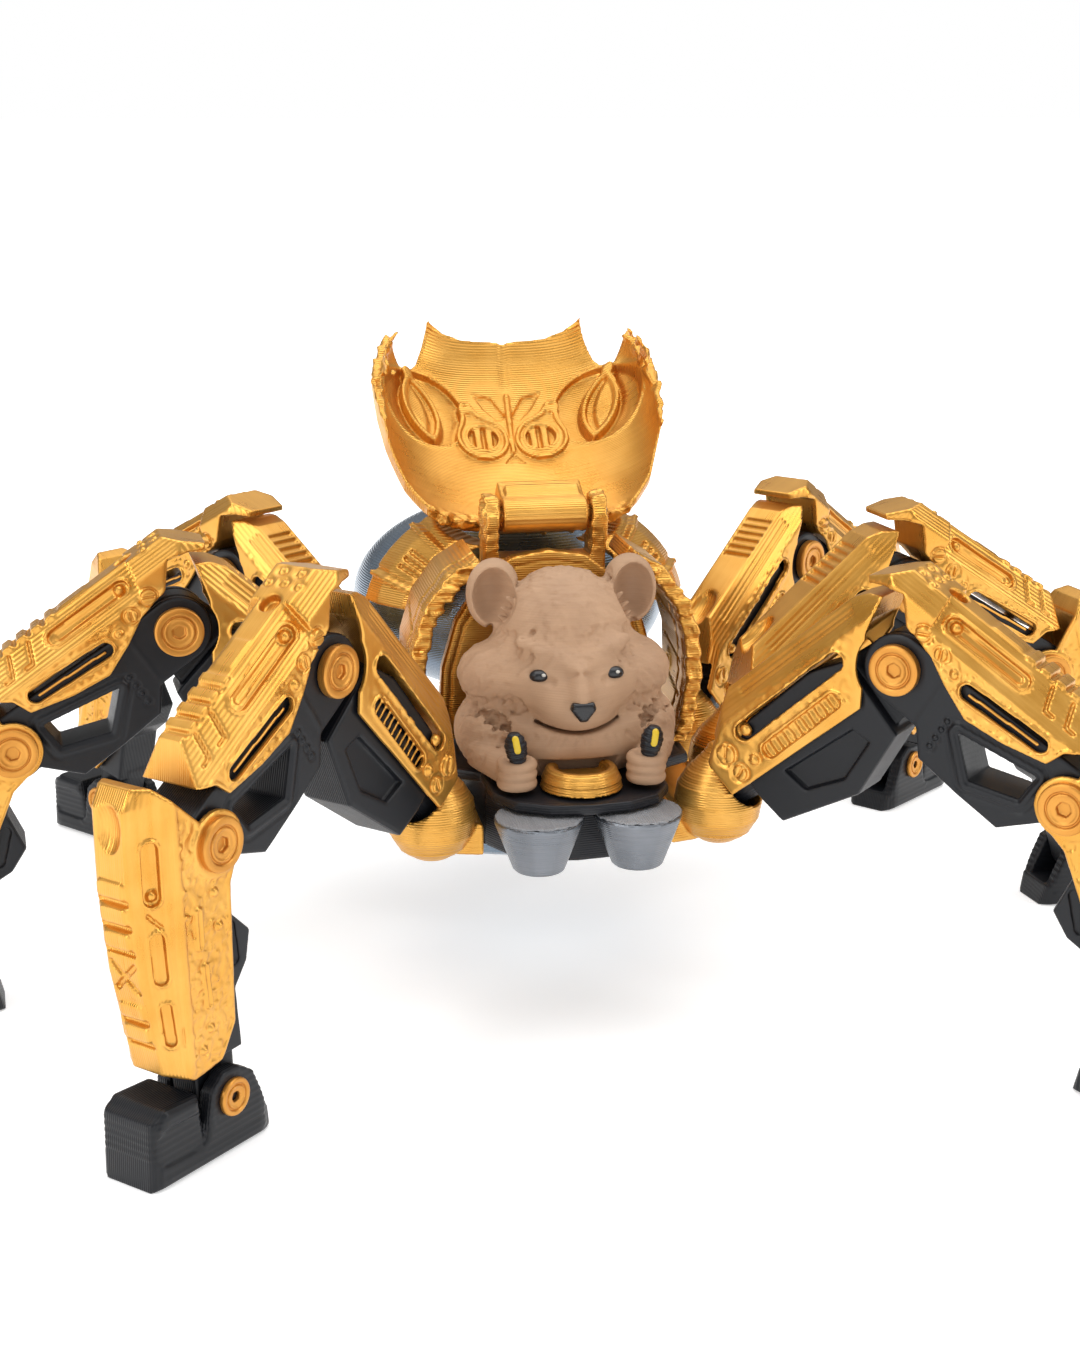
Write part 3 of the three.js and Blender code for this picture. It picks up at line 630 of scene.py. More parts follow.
def deck_carving():
    c = Carving((-17.6, -25, 19.2), (17.6, 17.8, DECK_Z), MEDIUM)
    deck = polygon(c.x, c.y, mirrored([(0, -24.8), (5, -24.2), (9, -22), (11.2, -18), (11.4, -9.6),
                                       (16.8, -6),
                                       (17.4, 8), (14, 14), (8, 17.2), (0, 17.6)]))
    keel = polygon(c.x, c.y, mirrored([(0, -16.8), (7, -16), (10.8, -9), (11.6, 12), (7, 17), (0, 17.6)]))
    c.add(extruded(deck, np.abs(c.z - 28.95) - 0.65, 0.25))
    c.add(extruded(keel, np.abs(c.z - 23.9) - 4.5, 0.6))
    c.emboss(c.z - DECK_Z, np.abs(deck + 0.9) - 0.12, -0.15)
    for y in (-8, -2, 4, 10):
        c.emboss(-(c.z - 19.4), rectangle(c.x, c.y, 0, y, 6.5, 1.6, 0.5), -0.5)
    return c


def socket_carving(side, necks):
    legs = {leg: neck for leg, neck in necks.items() if leg.endswith("left" if side < 0 else "right")}
    reach = max(abs(hip.x) for hip, _ in legs.values()) + 5.9
    near, far = (-reach, -12) if side < 0 else (12, reach)
    c = Carving((near, -22, 20.6), (far, 23.4, 34.2), MEDIUM)
    rail = polygon(side * c.x, c.y, [(12.1, -16.4), (15.8, -15.4), (20.4, 0), (19, 13.4), (17.4, 17),
                                     (12.4, 15.6),
                                     (12, -9)])
    c.add(extruded(rail, np.abs(c.z - 22.9) - 2.1, 0.5))
    c.emboss(c.z - 25, np.abs(rail + 1.0) - 0.2, -0.3)
    for hip, way in legs.values():
        x, y, z = c.x - hip.x, c.y - hip.y, c.z - hip.z
        around = np.sqrt(x * x + y * y)
        onion = polygon(around, z, [(-1, -5.7), (0, -5.7), (2.2, -5.35), (4, -4.2), (5.2, -2.3), (5.65, 0),
                                    (5.3, 2.1),
                                    (4.3, 3.8), (3.1, 5.1), (2.1, 6.1), (1.5, 7.0), (1.3, 7.5), (-1, 7.5)])
        c.add(onion + 0.06 * np.cos(z * (2 * math.pi / 0.62)), 0.5)
    for hip, way in legs.values():
        x, y, z = c.x - hip.x, c.y - hip.y, c.z - hip.z
        c.cut(np.sqrt(x * x + y * y + z * z) - 4.5, 0.2)
        along = x * way.x + y * way.y + z * way.z
        across = np.sqrt(np.maximum(x * x + y * y + z * z - along * along, 0))
        c.cut(common(across - 3.45, -along, r=0.3), 0.3)
    return c


def shell_carving(side):
    c = Carving((9, -2.8, 29.8) if side > 0 else (-19.8, -2.8, 29.8),
                (19.8, 11.8, 56.4) if side > 0 else (-9, 11.8, 56.4), MEDIUM)
    x = side * c.x
    profile = polygon(x, c.z, [(10.5, 56), (14.5, 53.6), (17.6, 49.4), (19.2, 44), (19.4, 38), (18.6, 32.6),
                               (17.4, 30), (15.4, 30), (16.6, 33), (17.3, 38), (17.1, 43.6), (15.7, 48.4),
                               (13, 52),
                               (9.4, 54.2)])
    front = c.y + 2.4 - 0.25 * np.sin(c.z * 1.9) - 0.2 * np.sin(c.z * 4.3 + 1)
    c.add(extruded(profile, np.maximum(-front, c.y - 11.5), 0.35))
    # stepped ridges just behind the worn rim, and long seams down the outside
    for offset, depth in ((1.1, -0.35), (1.9, -0.2), (4.6, -0.3)):
        c.emboss(profile, np.abs(front - offset) - 0.22, depth)
    for level in (36.5, 41.0, 46.5):
        seam = np.abs(c.z - level - 0.25 * (c.y - 4)) - 0.16
        c.emboss(profile, common(seam, c.y - 9.5, 3.2 - front), -0.3)
    c.emboss(profile, common(disc(c.y, c.z, 7.2, 39, 1.5), 14 - x), 0.25)
    c.emboss(profile, common(disc(c.y, c.z, 7.2, 39, 0.8), 14 - x), -0.2)
    worn = smooth_step(-front, -1.2, 0.2)
    c.d = c.d + 0.1 * c.grain(2) * worn
    return c


def seat_carving():
    c = Carving((-15, 3.9, 29.8), (15, 6.3, 55.6), MEDIUM)
    half = [(0, 55.4), (5, 54.6), (9.4, 51.2), (12.6, 46.2), (14.4, 40), (14.8, 34), (14, 30)]
    panel = polygon(c.x, c.z, mirrored(half))
    c.add(extruded(panel, np.abs(c.y - 5.1) - 1.1, 0.3))
    c.emboss(-(c.y - 4), np.abs(panel + 1.3) - 0.14, -0.25)
    c.emboss(c.y - 6.2, np.abs(panel + 2.2) - 0.3, -0.3)
    c.d = c.d + 0.03 * np.cos(c.z * (2 * math.pi / 0.6))
    return c


def bracket_carving():
    c = Carving((-8.4, 5, 43.8), (8.4, 11.8, 62.7), MEDIUM)
    cheek = polygon(c.y, c.z, [(6.6, 46), (11.6, 46), (11.6, 56.5), (10.4, 61.2), (8.6, 62.5), (6.8, 62),
                               (5.2, 59.6),
                               (6.6, 54)])
    c.add(extruded(cheek, np.abs(np.abs(c.x) - 7.2) - 1.0, 0.35))
    block = rectangle(c.y, c.z, 9.1, 49, 2.5, 5, 0.4)
    c.add(extruded(block, np.abs(c.x) - 8.1, 0.3))
    c.add(extruded(disc(c.y, c.z, HINGE[0], HINGE[1], 0.95), np.abs(c.x) - 6.6, 0.1))
    c.emboss(-(c.y - 6.6), rectangle(c.x, c.z, 0, 51.2, 5.4, 1.2, 0.3), -0.5)
    c.emboss(-(c.y - 6.6), rectangle(c.x, c.z, 0, 47.4, 5.4, 1.2, 0.3), -0.5)
    c.emboss(np.abs(c.x) - 8.2, np.abs(cheek + 0.9) - 0.2, -0.25)
    c.emboss(np.abs(c.x) - 8.2, disc(c.y, c.z, HINGE[0], HINGE[1], 1.5), 0.15)
    c.d = c.d + 0.07 * c.grain(2) * (c.z > 55)
    return c


HOOD_OUTER, HOOD_INNER, HOOD_ROOM = (20.8, 12.4, 22), (19.1, 10.7, 20.3), (22, 13.6, 23.2)


def squared_bowl(x, depth, along, radii, voxel):
    """Distance to a bowl whose outline is a rounded square, centred 20 mm up the hood."""
    square = (np.abs(x / radii[0]) ** 3 + np.abs((along - 20) / radii[2]) ** 3) ** (2 / 3)
    k = np.sqrt(square + (depth / radii[1]) ** 2)
    slope = np.sqrt(sum(part * part for part in np.gradient(k, voxel)))
    return (k - 1) / np.maximum(slope, 0.012)


def leaf(p, q, start, end, half_width):
    """A pointed leaf between two points."""
    length = math.dist(start, end) / 2
    radius = (length ** 2 + half_width ** 2) / (2 * half_width)
    middle = [(a + b) / 2 for a, b in zip(start, end)]
    shift = (radius - half_width) / (2 * length)
    off = ((end[1] - start[1]) * shift, (start[0] - end[0]) * shift)
    return common(disc(p, q, middle[0] + off[0], middle[1] + off[1], radius),
                  disc(p, q, middle[0] - off[0], middle[1] - off[1], radius))


def hood_carving():
    """The hood round its hinge, with Z along its length and Y into its bowl."""
    c = Carving((-21.4, -2.6, -2.6), (21.4, 13.4, 39.6), MEDIUM)
    x, depth, along = np.abs(c.x), c.y, c.z
    outer = squared_bowl(c.x, depth, along, HOOD_OUTER, c.voxel)
    inner = squared_bowl(c.x, depth, along, HOOD_INNER, c.voxel)
    cavity = -inner
    outline = polygon(c.x, along, mirrored([(0, 38.3), (6, 38.5), (11.2, 39.1), (12.2, 36.6), (13.2, 34.4),
                                            (14.5, 33.0), (15.6, 32.9), (16.7, 34.2), (17.6, 35.5),
                                            (18.5, 33.8),
                                            (19.3, 31.2), (20.2, 28.4), (20.4, 25.6), (20.1, 21),
                                            (19.3, 16.6),
                                            (17.2, 10.4), (13.8, 5.8), (9.6, 4.6), (0, 4.6)]))
    # ridges stand proud outside, and lumps run down the worn side edges
    ridge = np.abs(outline + 2.6) - 0.9
    outer = outer - 0.45 * smooth_step(-ridge, 0, 0.9) - 0.3 * smooth_step(-np.abs(outline + 6.4) + 0.7, 0,
                                                                           0.6)
    lumps = smooth_step(np.sin(along * 1.25 + 0.6 * np.sin(along * 0.7)), -0.2, 0.8)
    outer = outer - 0.7 * lumps * smooth_step(2.2 - depth, 0, 1.2) * (x > 14.5) * (along < 33)
    c.add(common(np.maximum(outer, cavity), outline, -depth - 0.1, r=0.35))
    # seen from inside: two large round pockets with leaf-shaped lids
    bulge = disc(x, along, 12.5, 27.2, 6.1)
    lid = leaf(x, along, (14.6, 32.4), (11.4, 21.6), 2.7)
    c.emboss(cavity, bulge, -0.85, 0.3)
    c.emboss(cavity, np.abs(bulge) - 0.2, 0.22, 0.2)
    c.emboss(cavity + 0.85, lid, 0.8, 0.45)
    c.emboss(cavity + 0.85, np.abs(lid + 0.5) - 0.38, 1.55, 0.3)
    c.emboss(cavity + 0.85, leaf(x, along, (14.9, 31.2), (12.4, 23.4), 1.2), 1.3, 0.4)
    c.emboss(cavity + 0.85, disc(x, along, 14.6, 32.0, 0.8), 1.7, 0.3)
    # two pear-shaped frames round barred eyes
    frame_edge = union(disc(x, along, 4.3, 23.6, 3.7), stadium(x, along, (5.0, 25.4), (6.3, 28.8), 1.0),
                       r=2.2)
    c.emboss(cavity, frame_edge, 0.25, 0.15)
    c.emboss(cavity, np.abs(frame_edge + 0.2) - 0.3, 0.75, 0.2)
    eye = disc(x, along, 4.2, 23.9, 2.35)
    c.emboss(cavity, eye, -0.5, 0.12)
    c.emboss(cavity, np.abs(eye) - 0.2, 0.55, 0.15)
    for offset in (-0.95, 0.65):
        c.emboss(cavity + 0.5, common(eye + 0.3, np.abs(x - 4.2 - offset) - 0.5), 0.75, 0.2)
    c.emboss(cavity, disc(x, along, 6.2, 28.5, 0.6), 0.75, 0.2)
    # the V above them, with a sunk triangle on either side of the valley
    c.emboss(cavity, polygon(x, along, [(0.45, 28.0), (2.3, 31.0), (5.0, 31.6), (3.4, 29.2), (1.6, 27.4)]),
             -0.5, 0.2)
    c.emboss(cavity, stadium(x, along, (0, 26.8), (0, 31.0), 0.35), 0.5, 0.3)
    c.emboss(cavity, stadium(x, along, (0, 32.5), (0, 38), 0.5), -0.14, 0.4)
    c.emboss(cavity, np.maximum(x - 0.3, np.abs(along - 23.4) - 3.4), 0.5, 0.3)
    c.emboss(cavity, polygon(x, along, [(0, 21.4), (1.7, 19.4), (0, 19.8)]), -0.4, 0.15)
    # worn lower lip and side edges
    near_edge = smooth_step(-along, -8.0, -5.4)
    rim = smooth_step(-depth, -1.3, 0.1) * (x > 14) * (along < 34)
    c.d = c.d + 0.12 * c.grain(2) * np.maximum(near_edge, 0.6 * rim) * (along > 3.8)
    # outside: two large and two small sockets for the lenses
    c.emboss(outer, np.abs(bulge + 0.6) - 0.4, 0.45, 0.4)
    c.emboss(outer, bulge + 1.2, -0.4, 0.3)
    c.emboss(outer, np.abs(disc(x, along, 4.3, 24.6, 3.2)) - 0.3, 0.35, 0.3)
    for offset in (3.8, 5.0):
        c.emboss(outer, common(np.abs(outline + offset) - 0.18, along - 20), -0.3)
    for level in (9, 12, 15):
        c.emboss(outer, common(rectangle(c.x, along, 0, level, 5.5, 0.5, 0.3), along - 18), -0.4)
    # tongue from the hinge to the lip
    arm = polygon(depth, along, [(-1.8, 0), (2.2, -0.8), (7.8, 3.6), (8.2, 5.6), (6.6, 6.2), (-0.6, 5.6)])
    knuckle = disc(depth, along, 0, 0, 2.3)
    c.add(extruded(union(arm, knuckle, r=0.6), x - 5.7, 0.3), 0.3)
    c.emboss(-depth - 1.6, rectangle(c.x, along, 0, 2.4, 5.0, 1.6, 0.2), 0.12)
    c.cut(disc(depth, along, 0, 0, 1.32))
    return c


def hood_surface(x, along):
    """Depth of the hood's outside and the way it faces there."""
    a, b, l = HOOD_OUTER
    total = abs(x / a) ** 3 + abs((along - 20) / l) ** 3
    depth = b * math.sqrt(1 - total ** (2 / 3))
    steep = total ** (-1 / 3)
    normal = Vector((steep * x * abs(x) / a ** 3, depth / b ** 2,
                     steep * (along - 20) * abs(along - 20) / l ** 3))
    return Vector((x, depth, along)), normal.normalized()


def lens_carving(radius, tall, wide):
    """A smooth eye lens, domed towards +Y."""
    c = Carving((-wide, -0.2, -tall), (wide, radius, tall), FINE)
    c.add(common(ellipsoid(c.x, c.y, c.z, (0, 0, 0), (wide, radius, tall)), -c.y, r=0.1))
    return c


def abdomen_carving():
    c = Carving((-23.4, 14.2, 28.2), (23.4, 58.8, 57.2), MEDIUM * 1.25)
    x, y, z = c.x, c.y - 36.5, c.z - 42.6
    egg = ellipsoid(x, y, z, (0, 0, 0), (22.9, 21.9, 14.1))
    for start, width in ((9.5, 0.35), (15.5, 0.3)):
        egg = egg + 0.4 * smooth_step(-np.abs(y - start) + width, 0, 0.3)
    egg = egg + 0.35 * smooth_step(-np.abs(np.abs(x) - 9 - 0.12 * y) + 0.3, 0, 0.3) * (z > 0) * (y > -9)
    c.add(egg)
    spinneret = ellipsoid(x, y, z, (0, 20.4, -1.5), (3.4, 1.6, 2.6))
    c.add(spinneret, 0.6)
    for level in (-3.5, 0.0, 3.5):
        c.cut(common(stadium(x, z, (-5.5, level - 7), (5.5, level - 7), 0.45), 14 - y), 0.3)
    return c


def armour_carving(side):
    c = Carving((0.2, 13.8, 45.2) if side > 0 else (-23.5, 13.8, 45.2),
                (23.5, 23.6, 61.2) if side > 0 else (-0.2, 23.6, 61.2), MEDIUM)
    radius = np.sqrt((c.x / 1.1) ** 2 + ((c.z - 42.6) / 0.86) ** 2)
    section = polygon(radius, c.y - 36.5, [(14.4, -19.2), (17.2, -16), (19.2, -13.4), (21, -14),
                                           (19.8, -17.2),
                                           (17.2, -21), (15, -22.4)])
    c.add(section * 0.9, 0.2)
    turn = np.arctan2((c.z - 42.6) / 0.86, np.abs(c.x) / 1.1)
    face = (polygon(radius, c.y - 36.5, [(0, -30), (15, -22.4), (17.2, -21), (19.8, -17.2), (21, -14),
                                         (40, -14),
                                         (40, 5), (0, 5)]))
    nearby = section - 0.45
    for angle in (0.38, 0.82, 1.2):
        c.emboss(face, common(np.abs(turn - angle) * 17 - 0.3, nearby), 0.35, 0.2)
        c.emboss(face, np.abs(turn - angle - 0.05) * 17 - 0.2, -0.25, 0.2)
    for offset in (-0.07, 0.0, 0.07):
        vent = np.maximum(np.abs(turn - 0.6 - offset) * 17 - 0.3, np.abs(radius - 18) - 1.2)
        c.emboss(face, vent, -0.45, 0.15)
    c.keep(45.4 - c.z, 0.2)
    c.keep(0.35 - side * c.x, 0.2)
    lean_y = c.y - HINGE[0]
    lean_z = c.z - HINGE[1]
    depth = lean_y * math.cos(HOOD_LEAN) - lean_z * math.sin(HOOD_LEAN)
    along = lean_y * math.sin(HOOD_LEAN) + lean_z * math.cos(HOOD_LEAN)
    c.cut(squared_bowl(c.x, depth, along, HOOD_ROOM, c.voxel), 0.2)
    return c


def dish_carving():
    c = Carving((-22.6, -8.7, 15.6), (22.6, 18.7, 19.1), MEDIUM)
    around = np.sqrt(c.x ** 2 + ((c.y - 5) / 0.6) ** 2)
    c.add(polygon(around, c.z, [(-1, 15.8), (14, 15.8), (18, 16.5), (21, 17.5), (22.4, 19),
                                (-1, 19)]) * 0.7, 0.2)
    c.emboss(-(c.z - 15.8), np.abs(around - 11) - 0.3, -0.4, 0.2)
    return c


def bear_carving():
    c = Carving((-14.4, -21, 30), (14.4, 3.6, 56.6), FINE)
    x, y, z = np.abs(c.x), c.y, c.z
    body = ellipsoid(c.x, y, z, (0, -6.8, 35.0), (13.4, 10.4, 7.2))
    skull = ellipsoid(c.x, y, z, (0, -5.4, 46.4), (8.9, 8.4, 8.9))
    ruff = ellipsoid(x, y, z, (8.0, -6.4, 41.8), (5.9, 6.2, 4.6))
    face = ellipsoid(c.x, y, z, (0, -9.6, 41.6), (9.6, 7.2, 5.6))
    muzzle = ellipsoid(c.x, y, z, (0, -14.2, 39.4), (4.6, 4.6, 3.4))
    chin = ellipsoid(c.x, y, z, (0, -10.6, 35.2), (8.6, 6.2, 3.4))
    c.add(union(skull, ruff, face, r=2.4))
    c.add(muzzle, 2.4)
    c.add(chin, 0.9)
    c.add(capsule(x, y, z, (0.5, -14.9, 44.9), (6.6, -12.3, 47.0), 1.25, 0.9), 1.6)
    c.add(capsule(c.x, y, z, (0, -17.0, 44.0), (0, -18.4, 41.4), 0.7, 0.9), 2.0)
    shoulders = ellipsoid(x, y, z, (10.4, -7.2, 34.8), (4.0, 6.0, 5.0))
    c.add(union(body, shoulders, r=1.2), 0.5)
    forearm = capsule(x, y, z, (11.2, -10.6, 33.0), (8.9, -16.6, 32.0), 2.6, 2.0)
    c.add(forearm, 0.5)
    # a fist of three finger rolls under each stick
    c.add(extruded(disc(x, y, 8.2, -18.2, 2.1), np.abs(z - 32) - 1.8, 0.4), 0.2)
    for level in (30.95, 32.15, 33.3):
        ring = np.sqrt((np.sqrt((x - 8.2) ** 2 + (y + 18.2) ** 2) - 1.75) ** 2 + (z - level) ** 2) - 0.78
        c.add(ring, 0.12)
    # ears: deep round cups with tufts at the inner side
    c.add(ellipsoid(x, y, z, (8.8, -4.6, 51.9), (3.6, 2.9, 4.6)), 0.7)
    c.cut(ellipsoid(x, y, z, (9.1, -7.0, 51.9), (2.75, 3.6, 3.75)), 0.25)
    for tip, root in (((8.2, -6.8, 50.6), (6.4, -6.2, 49.4)), ((8.5, -6.7, 49.4), (6.9, -6.1, 48.3)),
                      ((7.5, -6.8, 51.9), (6.0, -6.2, 50.6))):
        c.add(capsule(x, y, z, root, tip, 0.7, 0.2), 0.25)
    # mouth line, eye slits under the brow and creases beside the muzzle and under the ruff
    mouth = np.sqrt((z - 36.5 - 0.045 * c.x ** 2) ** 2 + np.maximum(y + 13.2, 0) ** 2) - 0.24
    c.cut(common(mouth, x - 5.4, y + 12.0), 0.45)
    c.cut(capsule(x, y, z, (0, -19.0, 36.6), (0, -19.0, 38.0), 0.25), 0.4)
    c.cut(capsule(x, y, z, (3.5, -16.4, 43.1), (5.9, -14.7, 44.0), 0.62, 0.5), 0.35)
    c.cut(capsule(x, y, z, (0.5, -17.4, 44.2), (1.9, -16.9, 43.6), 0.22), 0.5)
    c.cut(capsule(x, y, z, (5.6, -15.6, 37.6), (8.6, -13.2, 39.4), 0.3), 0.9)
    c.cut(capsule(x, y, z, (7.4, -14.0, 35.9), (13.6, -8.4, 38.2), 0.5), 1.0)
    # carved fur
    carve_fur(c, 3600)
    # the room round the console and under the sticks, the flat underside and the flat back
    c.keep(DECK_Z + 0.4 - z, 0.3)
    c.keep(y - 3.3, 0.3)
    c.cut(common(disc(c.x, y, 0, -17.9, 5.6), z - 33))
    c.cut(capsule(x, y, z, (8.3, -19.0, 35.5), (8.8, -18.8, 39.0), 1.75))
    return c


def carve_fur(c, count):
    """Short strokes that follow the surface downwards, on the head, back and arms."""
    close = np.argwhere(np.abs(c.d) < 0.6 * c.voxel)
    close = close[rng.choice(len(close), min(count * 2, len(close)), replace=False)]
    field = c.d.copy()
    done = 0
    for i, j, k in close:
        if done >= count or not (4 < i < c.shape[0] - 5 and 4 < j < c.shape[1] - 5 and 4 < k < c.shape[2] - 5):
            continue
        x, y, z = float(c.x[i, 0, 0]), float(c.y[0, j, 0]), float(c.z[0, 0, k])
        on_face = y < -13.5 and 35.5 < z < 45.5
        in_ear = z > 47.5 and abs(x) > 5.8
        on_hand = y < -14.6 and z < 35
        if on_face or in_ear or on_hand or z < 31.5:
            continue
        normal = np.array([field[i + 1, j, k] - field[i - 1, j, k], field[i, j + 1, k] - field[i, j - 1, k],
                           field[i, j, k + 1] - field[i, j, k - 1]])
        normal /= max(np.linalg.norm(normal), 1e-6)
        flow = np.array([x * 0.08 + rng.normal(0, 0.28), 0.45 - 0.02 * y + rng.normal(0, 0.28), -1.0])
        flow -= normal * (flow @ normal)
        flow /= max(np.linalg.norm(flow), 1e-6)
        half = rng.uniform(0.6, 1.3)
        centre = np.array([x, y, z]) + normal * 0.16
        start, end = centre - flow * half, centre + flow * half
        reach = int((half + 0.5) / c.voxel) + 1
        window = tuple(slice(max(n - reach, 0), n + reach + 1) for n in (i, j, k))
        stroke = capsule(c.x[window[0]], c.y[:, window[1]], c.z[:, :, window[2]], start, end, 0.4, 0.22)
        c.d[window] = smooth_max(c.d[window], -stroke, 0.12)
        done += 1


def nose_carving():
    """A small rounded triangle, point down."""
    c = Carving((-1.9, -20.4, 38.0), (1.9, -17.2, 41.4), FINE * 0.6)
    front = polygon(c.x, c.z, [(-1.1, 40.7), (1.1, 40.7), (1.25, 40.2), (0.25, 38.9), (-0.25, 38.9),
                               (-1.25, 40.2)])
    c.add(extruded(front - 0.35, np.abs(c.y + 18.8) - 0.9, 0.6))
    return c


def blob(name, centre, radii):
    low = [a - b for a, b in zip(centre, radii)]
    high = [a + b for a, b in zip(centre, radii)]
    c = Carving(low, high, FINE * 0.6)
    c.add(ellipsoid(c.x, c.y, c.z, centre, radii))
    return c.mesh(name)


def stick_outline(c):
    around = np.sqrt(c.x ** 2 + (c.y * 1.05) ** 2)
    return polygon(around, c.z, [(-1, 0), (0.9, 0), (1.3, 1.2), (1.4, 2.4), (1.1, 3.4), (0.6, 3.95),
                                 (-1, 4.0)])


def stick_carving():
    c = Carving((-1.6, -1.6, -0.1), (1.6, 1.6, 4.1), FINE * 0.6)
    c.add(stick_outline(c), 0.2)
    c.d = c.d + 0.05 * np.cos(c.z * 9)
    return c


def stripe_carving():
    """The raised yellow mark down the front of a stick."""
    c = Carving((-0.6, -1.75, 1.6), (0.6, -0.6, 4.0), FINE * 0.6)
    grip = stick_outline(c)
    mark = stadium(c.x, c.z, (0, 2.1), (0, 3.5), 0.42)
    c.add(common(grip - 0.14, -(grip + 0.3), mark, c.y + 0.3, r=0.1))
    return c


def collar_carving():
    c = Carving((-5.4, -23.2, 29.9), (5.4, -15.7, 32.8), FINE)
    around = disc(c.x, c.y, 0, -17.9, 0)
    c.add(polygon(around, c.z, [(-1, 30), (5.2, 30), (4.9, 30.9), (5.0, 31.1), (4.3, 32.6), (3.4, 32.6),
                                (3.0, 31.6),
                                (-1, 31.6)]), 0.15)
    c.keep(c.y + 15.9, 0.15)
    c.d = c.d + 0.05 * np.cos(c.z * (2 * math.pi / 0.55))
    return c


def jaw_carving(side):
    c = Carving((side * 6.2 - 5.8, -28.5, 20.8), (side * 6.2 + 5.8, -17, 28.1), FINE)
    x, y = c.x - side * 6.2, c.y + 22.6
    around = np.sqrt(x * x + y * y)
    c.add(polygon(around, c.z, [(-1, 21), (2.9, 21), (3.3, 21.3), (5.6, 27.4), (5.6, 27.75), (-1, 27.75)]),
          0.15)
    # flats down the cone
    turn = np.arctan2(y, x)
    facet = np.cos(np.mod(turn, math.pi / 5) - math.pi / 10) * around
    c.keep(facet - np.interp(c.z, [21, 27.6], [3.15, 5.55]).astype(np.float32), 0.25)
    c.keep(c.y + 17.3, 0.2)
    return c


def jaw_top_carving(side):
    c = Carving((side * 6.2 - 5.6, -28.2, 27.6), (side * 6.2 + 5.6, -17, 28.1), FINE)
    around = np.sqrt((c.x - side * 6.2) ** 2 + (c.y + 22.6) ** 2)
    c.add(extruded(around - 5.45, np.abs(c.z - 27.85) - 0.15, 0.1))
    c.keep(c.y + 17.35, 0.1)
    c.d = c.d + 0.035 * c.grain()
    return c


def build_body():
    at_body = Matrix.Translation(body_origin)
    gold, black, silver = "gold_plastic", "black_plastic", "silver_plastic"
    steel, brown = "steel_blue_plastic", "brown_plastic"

    def put(name, data, nodes, slot, material, matrix=at_body, body="body"):
        return place(name, data, matrix, body, nodes, slot, material)

    put("deck", deck_carving().mesh("deck"), ["deck_hull"], black, black_level)
    necks = neck_directions()
    for side, label in ((-1, "left"), (1, "right")):
        put(f"sockets_{label}", socket_carving(side, necks).mesh("sockets"), [f"socket_bank_{label}"], gold,
            gold_level)
        put(f"shell_{label}", shell_carving(side).mesh("shell"), [f"cockpit_shell_{label}"], gold, gold_level)
        put(f"armour_{label}", armour_carving(side).mesh("armour"), [f"abdomen_armour_{label}"], gold,
            gold_level)
        put(f"jaw_cone_{label}", jaw_carving(side).mesh("jaw"), [f"jaw_{label}"], silver, silver_level)
        put(f"jaw_top_{label}", jaw_top_carving(side).mesh("jaw_top"), [f"jaw_{label}"], silver, silver_flat)
    put("seat", seat_carving().mesh("seat"), ["seat_back"], gold, gold_level)
    put("bracket", bracket_carving().mesh("bracket"), ["hinge_bracket"], gold, gold_level)
    put("abdomen", abdomen_carving().mesh("abdomen"), ["abdomen_sphere"], steel, steel_level)
    put("dish", dish_carving().mesh("dish"), ["belly_dish"], steel, steel_level)
    put("collar", collar_carving().mesh("collar"), ["console_collar"], gold, gold_level)

    at_hood = at_body @ Matrix.Translation(Vector((0, *HINGE)) * MM) @ Matrix.Rotation(-HOOD_LEAN, 4, "X")
    put("hood_shell", hood_carving().mesh("hood_shell"), ["hood"], gold, gold_level, at_hood, "hood")
    large, small = lens_carving(2.3, 4.4, 3.6).mesh("lens_large"), lens_carving(1.5, 2.4,
                                                                                2.2).mesh("lens_small")
    for side, label in ((-1, "left"), (1, "right")):
        for size, data, x, along in (("large", large, 12.6, 27.4), ("small", small, 4.3, 24.6)):
            point, normal = hood_surface(side * x, along)
            turn = Vector((0, 1, 0)).rotation_difference(normal).to_matrix().to_4x4()
            spot = at_hood @ Matrix.Translation((point - normal * 0.7) * MM) @ turn
            put(f"lens_{size}_{label}", data, ["hood"], steel, steel_level, spot, "hood")

    put("bear", bear_carving().mesh("bear"), ["pilot_bear"], brown, fur)
    put("bear_nose", nose_carving().mesh("nose"), ["pilot_bear"], black, nose_black)
    for side, label in ((-1, "left"), (1, "right")):
        put(f"bear_eye_{label}", blob("eye", (side * 4.7, -14.7, 43.5), (1.3, 1.0, 0.85)), ["pilot_bear"],
            black,
            nose_black)
        put(f"bear_glint_{label}", blob("glint", (side * 4.7 + 0.35, -15.6, 43.8), (0.3, 0.2, 0.24)),
            ["pilot_bear"],
            silver, eye_white)
        tilt = (at_body @ Matrix.Translation(Vector((side * 8.2, -19.4, 33.9)) * MM)
                @ Matrix.Rotation(math.radians(side * 10), 4, "Y") @ Matrix.Rotation(math.radians(6), 4, "X"))
        put(f"stick_{label}", stick_carving().mesh("stick"), [f"joystick_{label}"], black, black_level, tilt)
        put(f"stick_mark_{label}", stripe_carving().mesh("stick_mark"), [f"joystick_{label}"], gold,
            paint_yellow, tilt)


build_body()


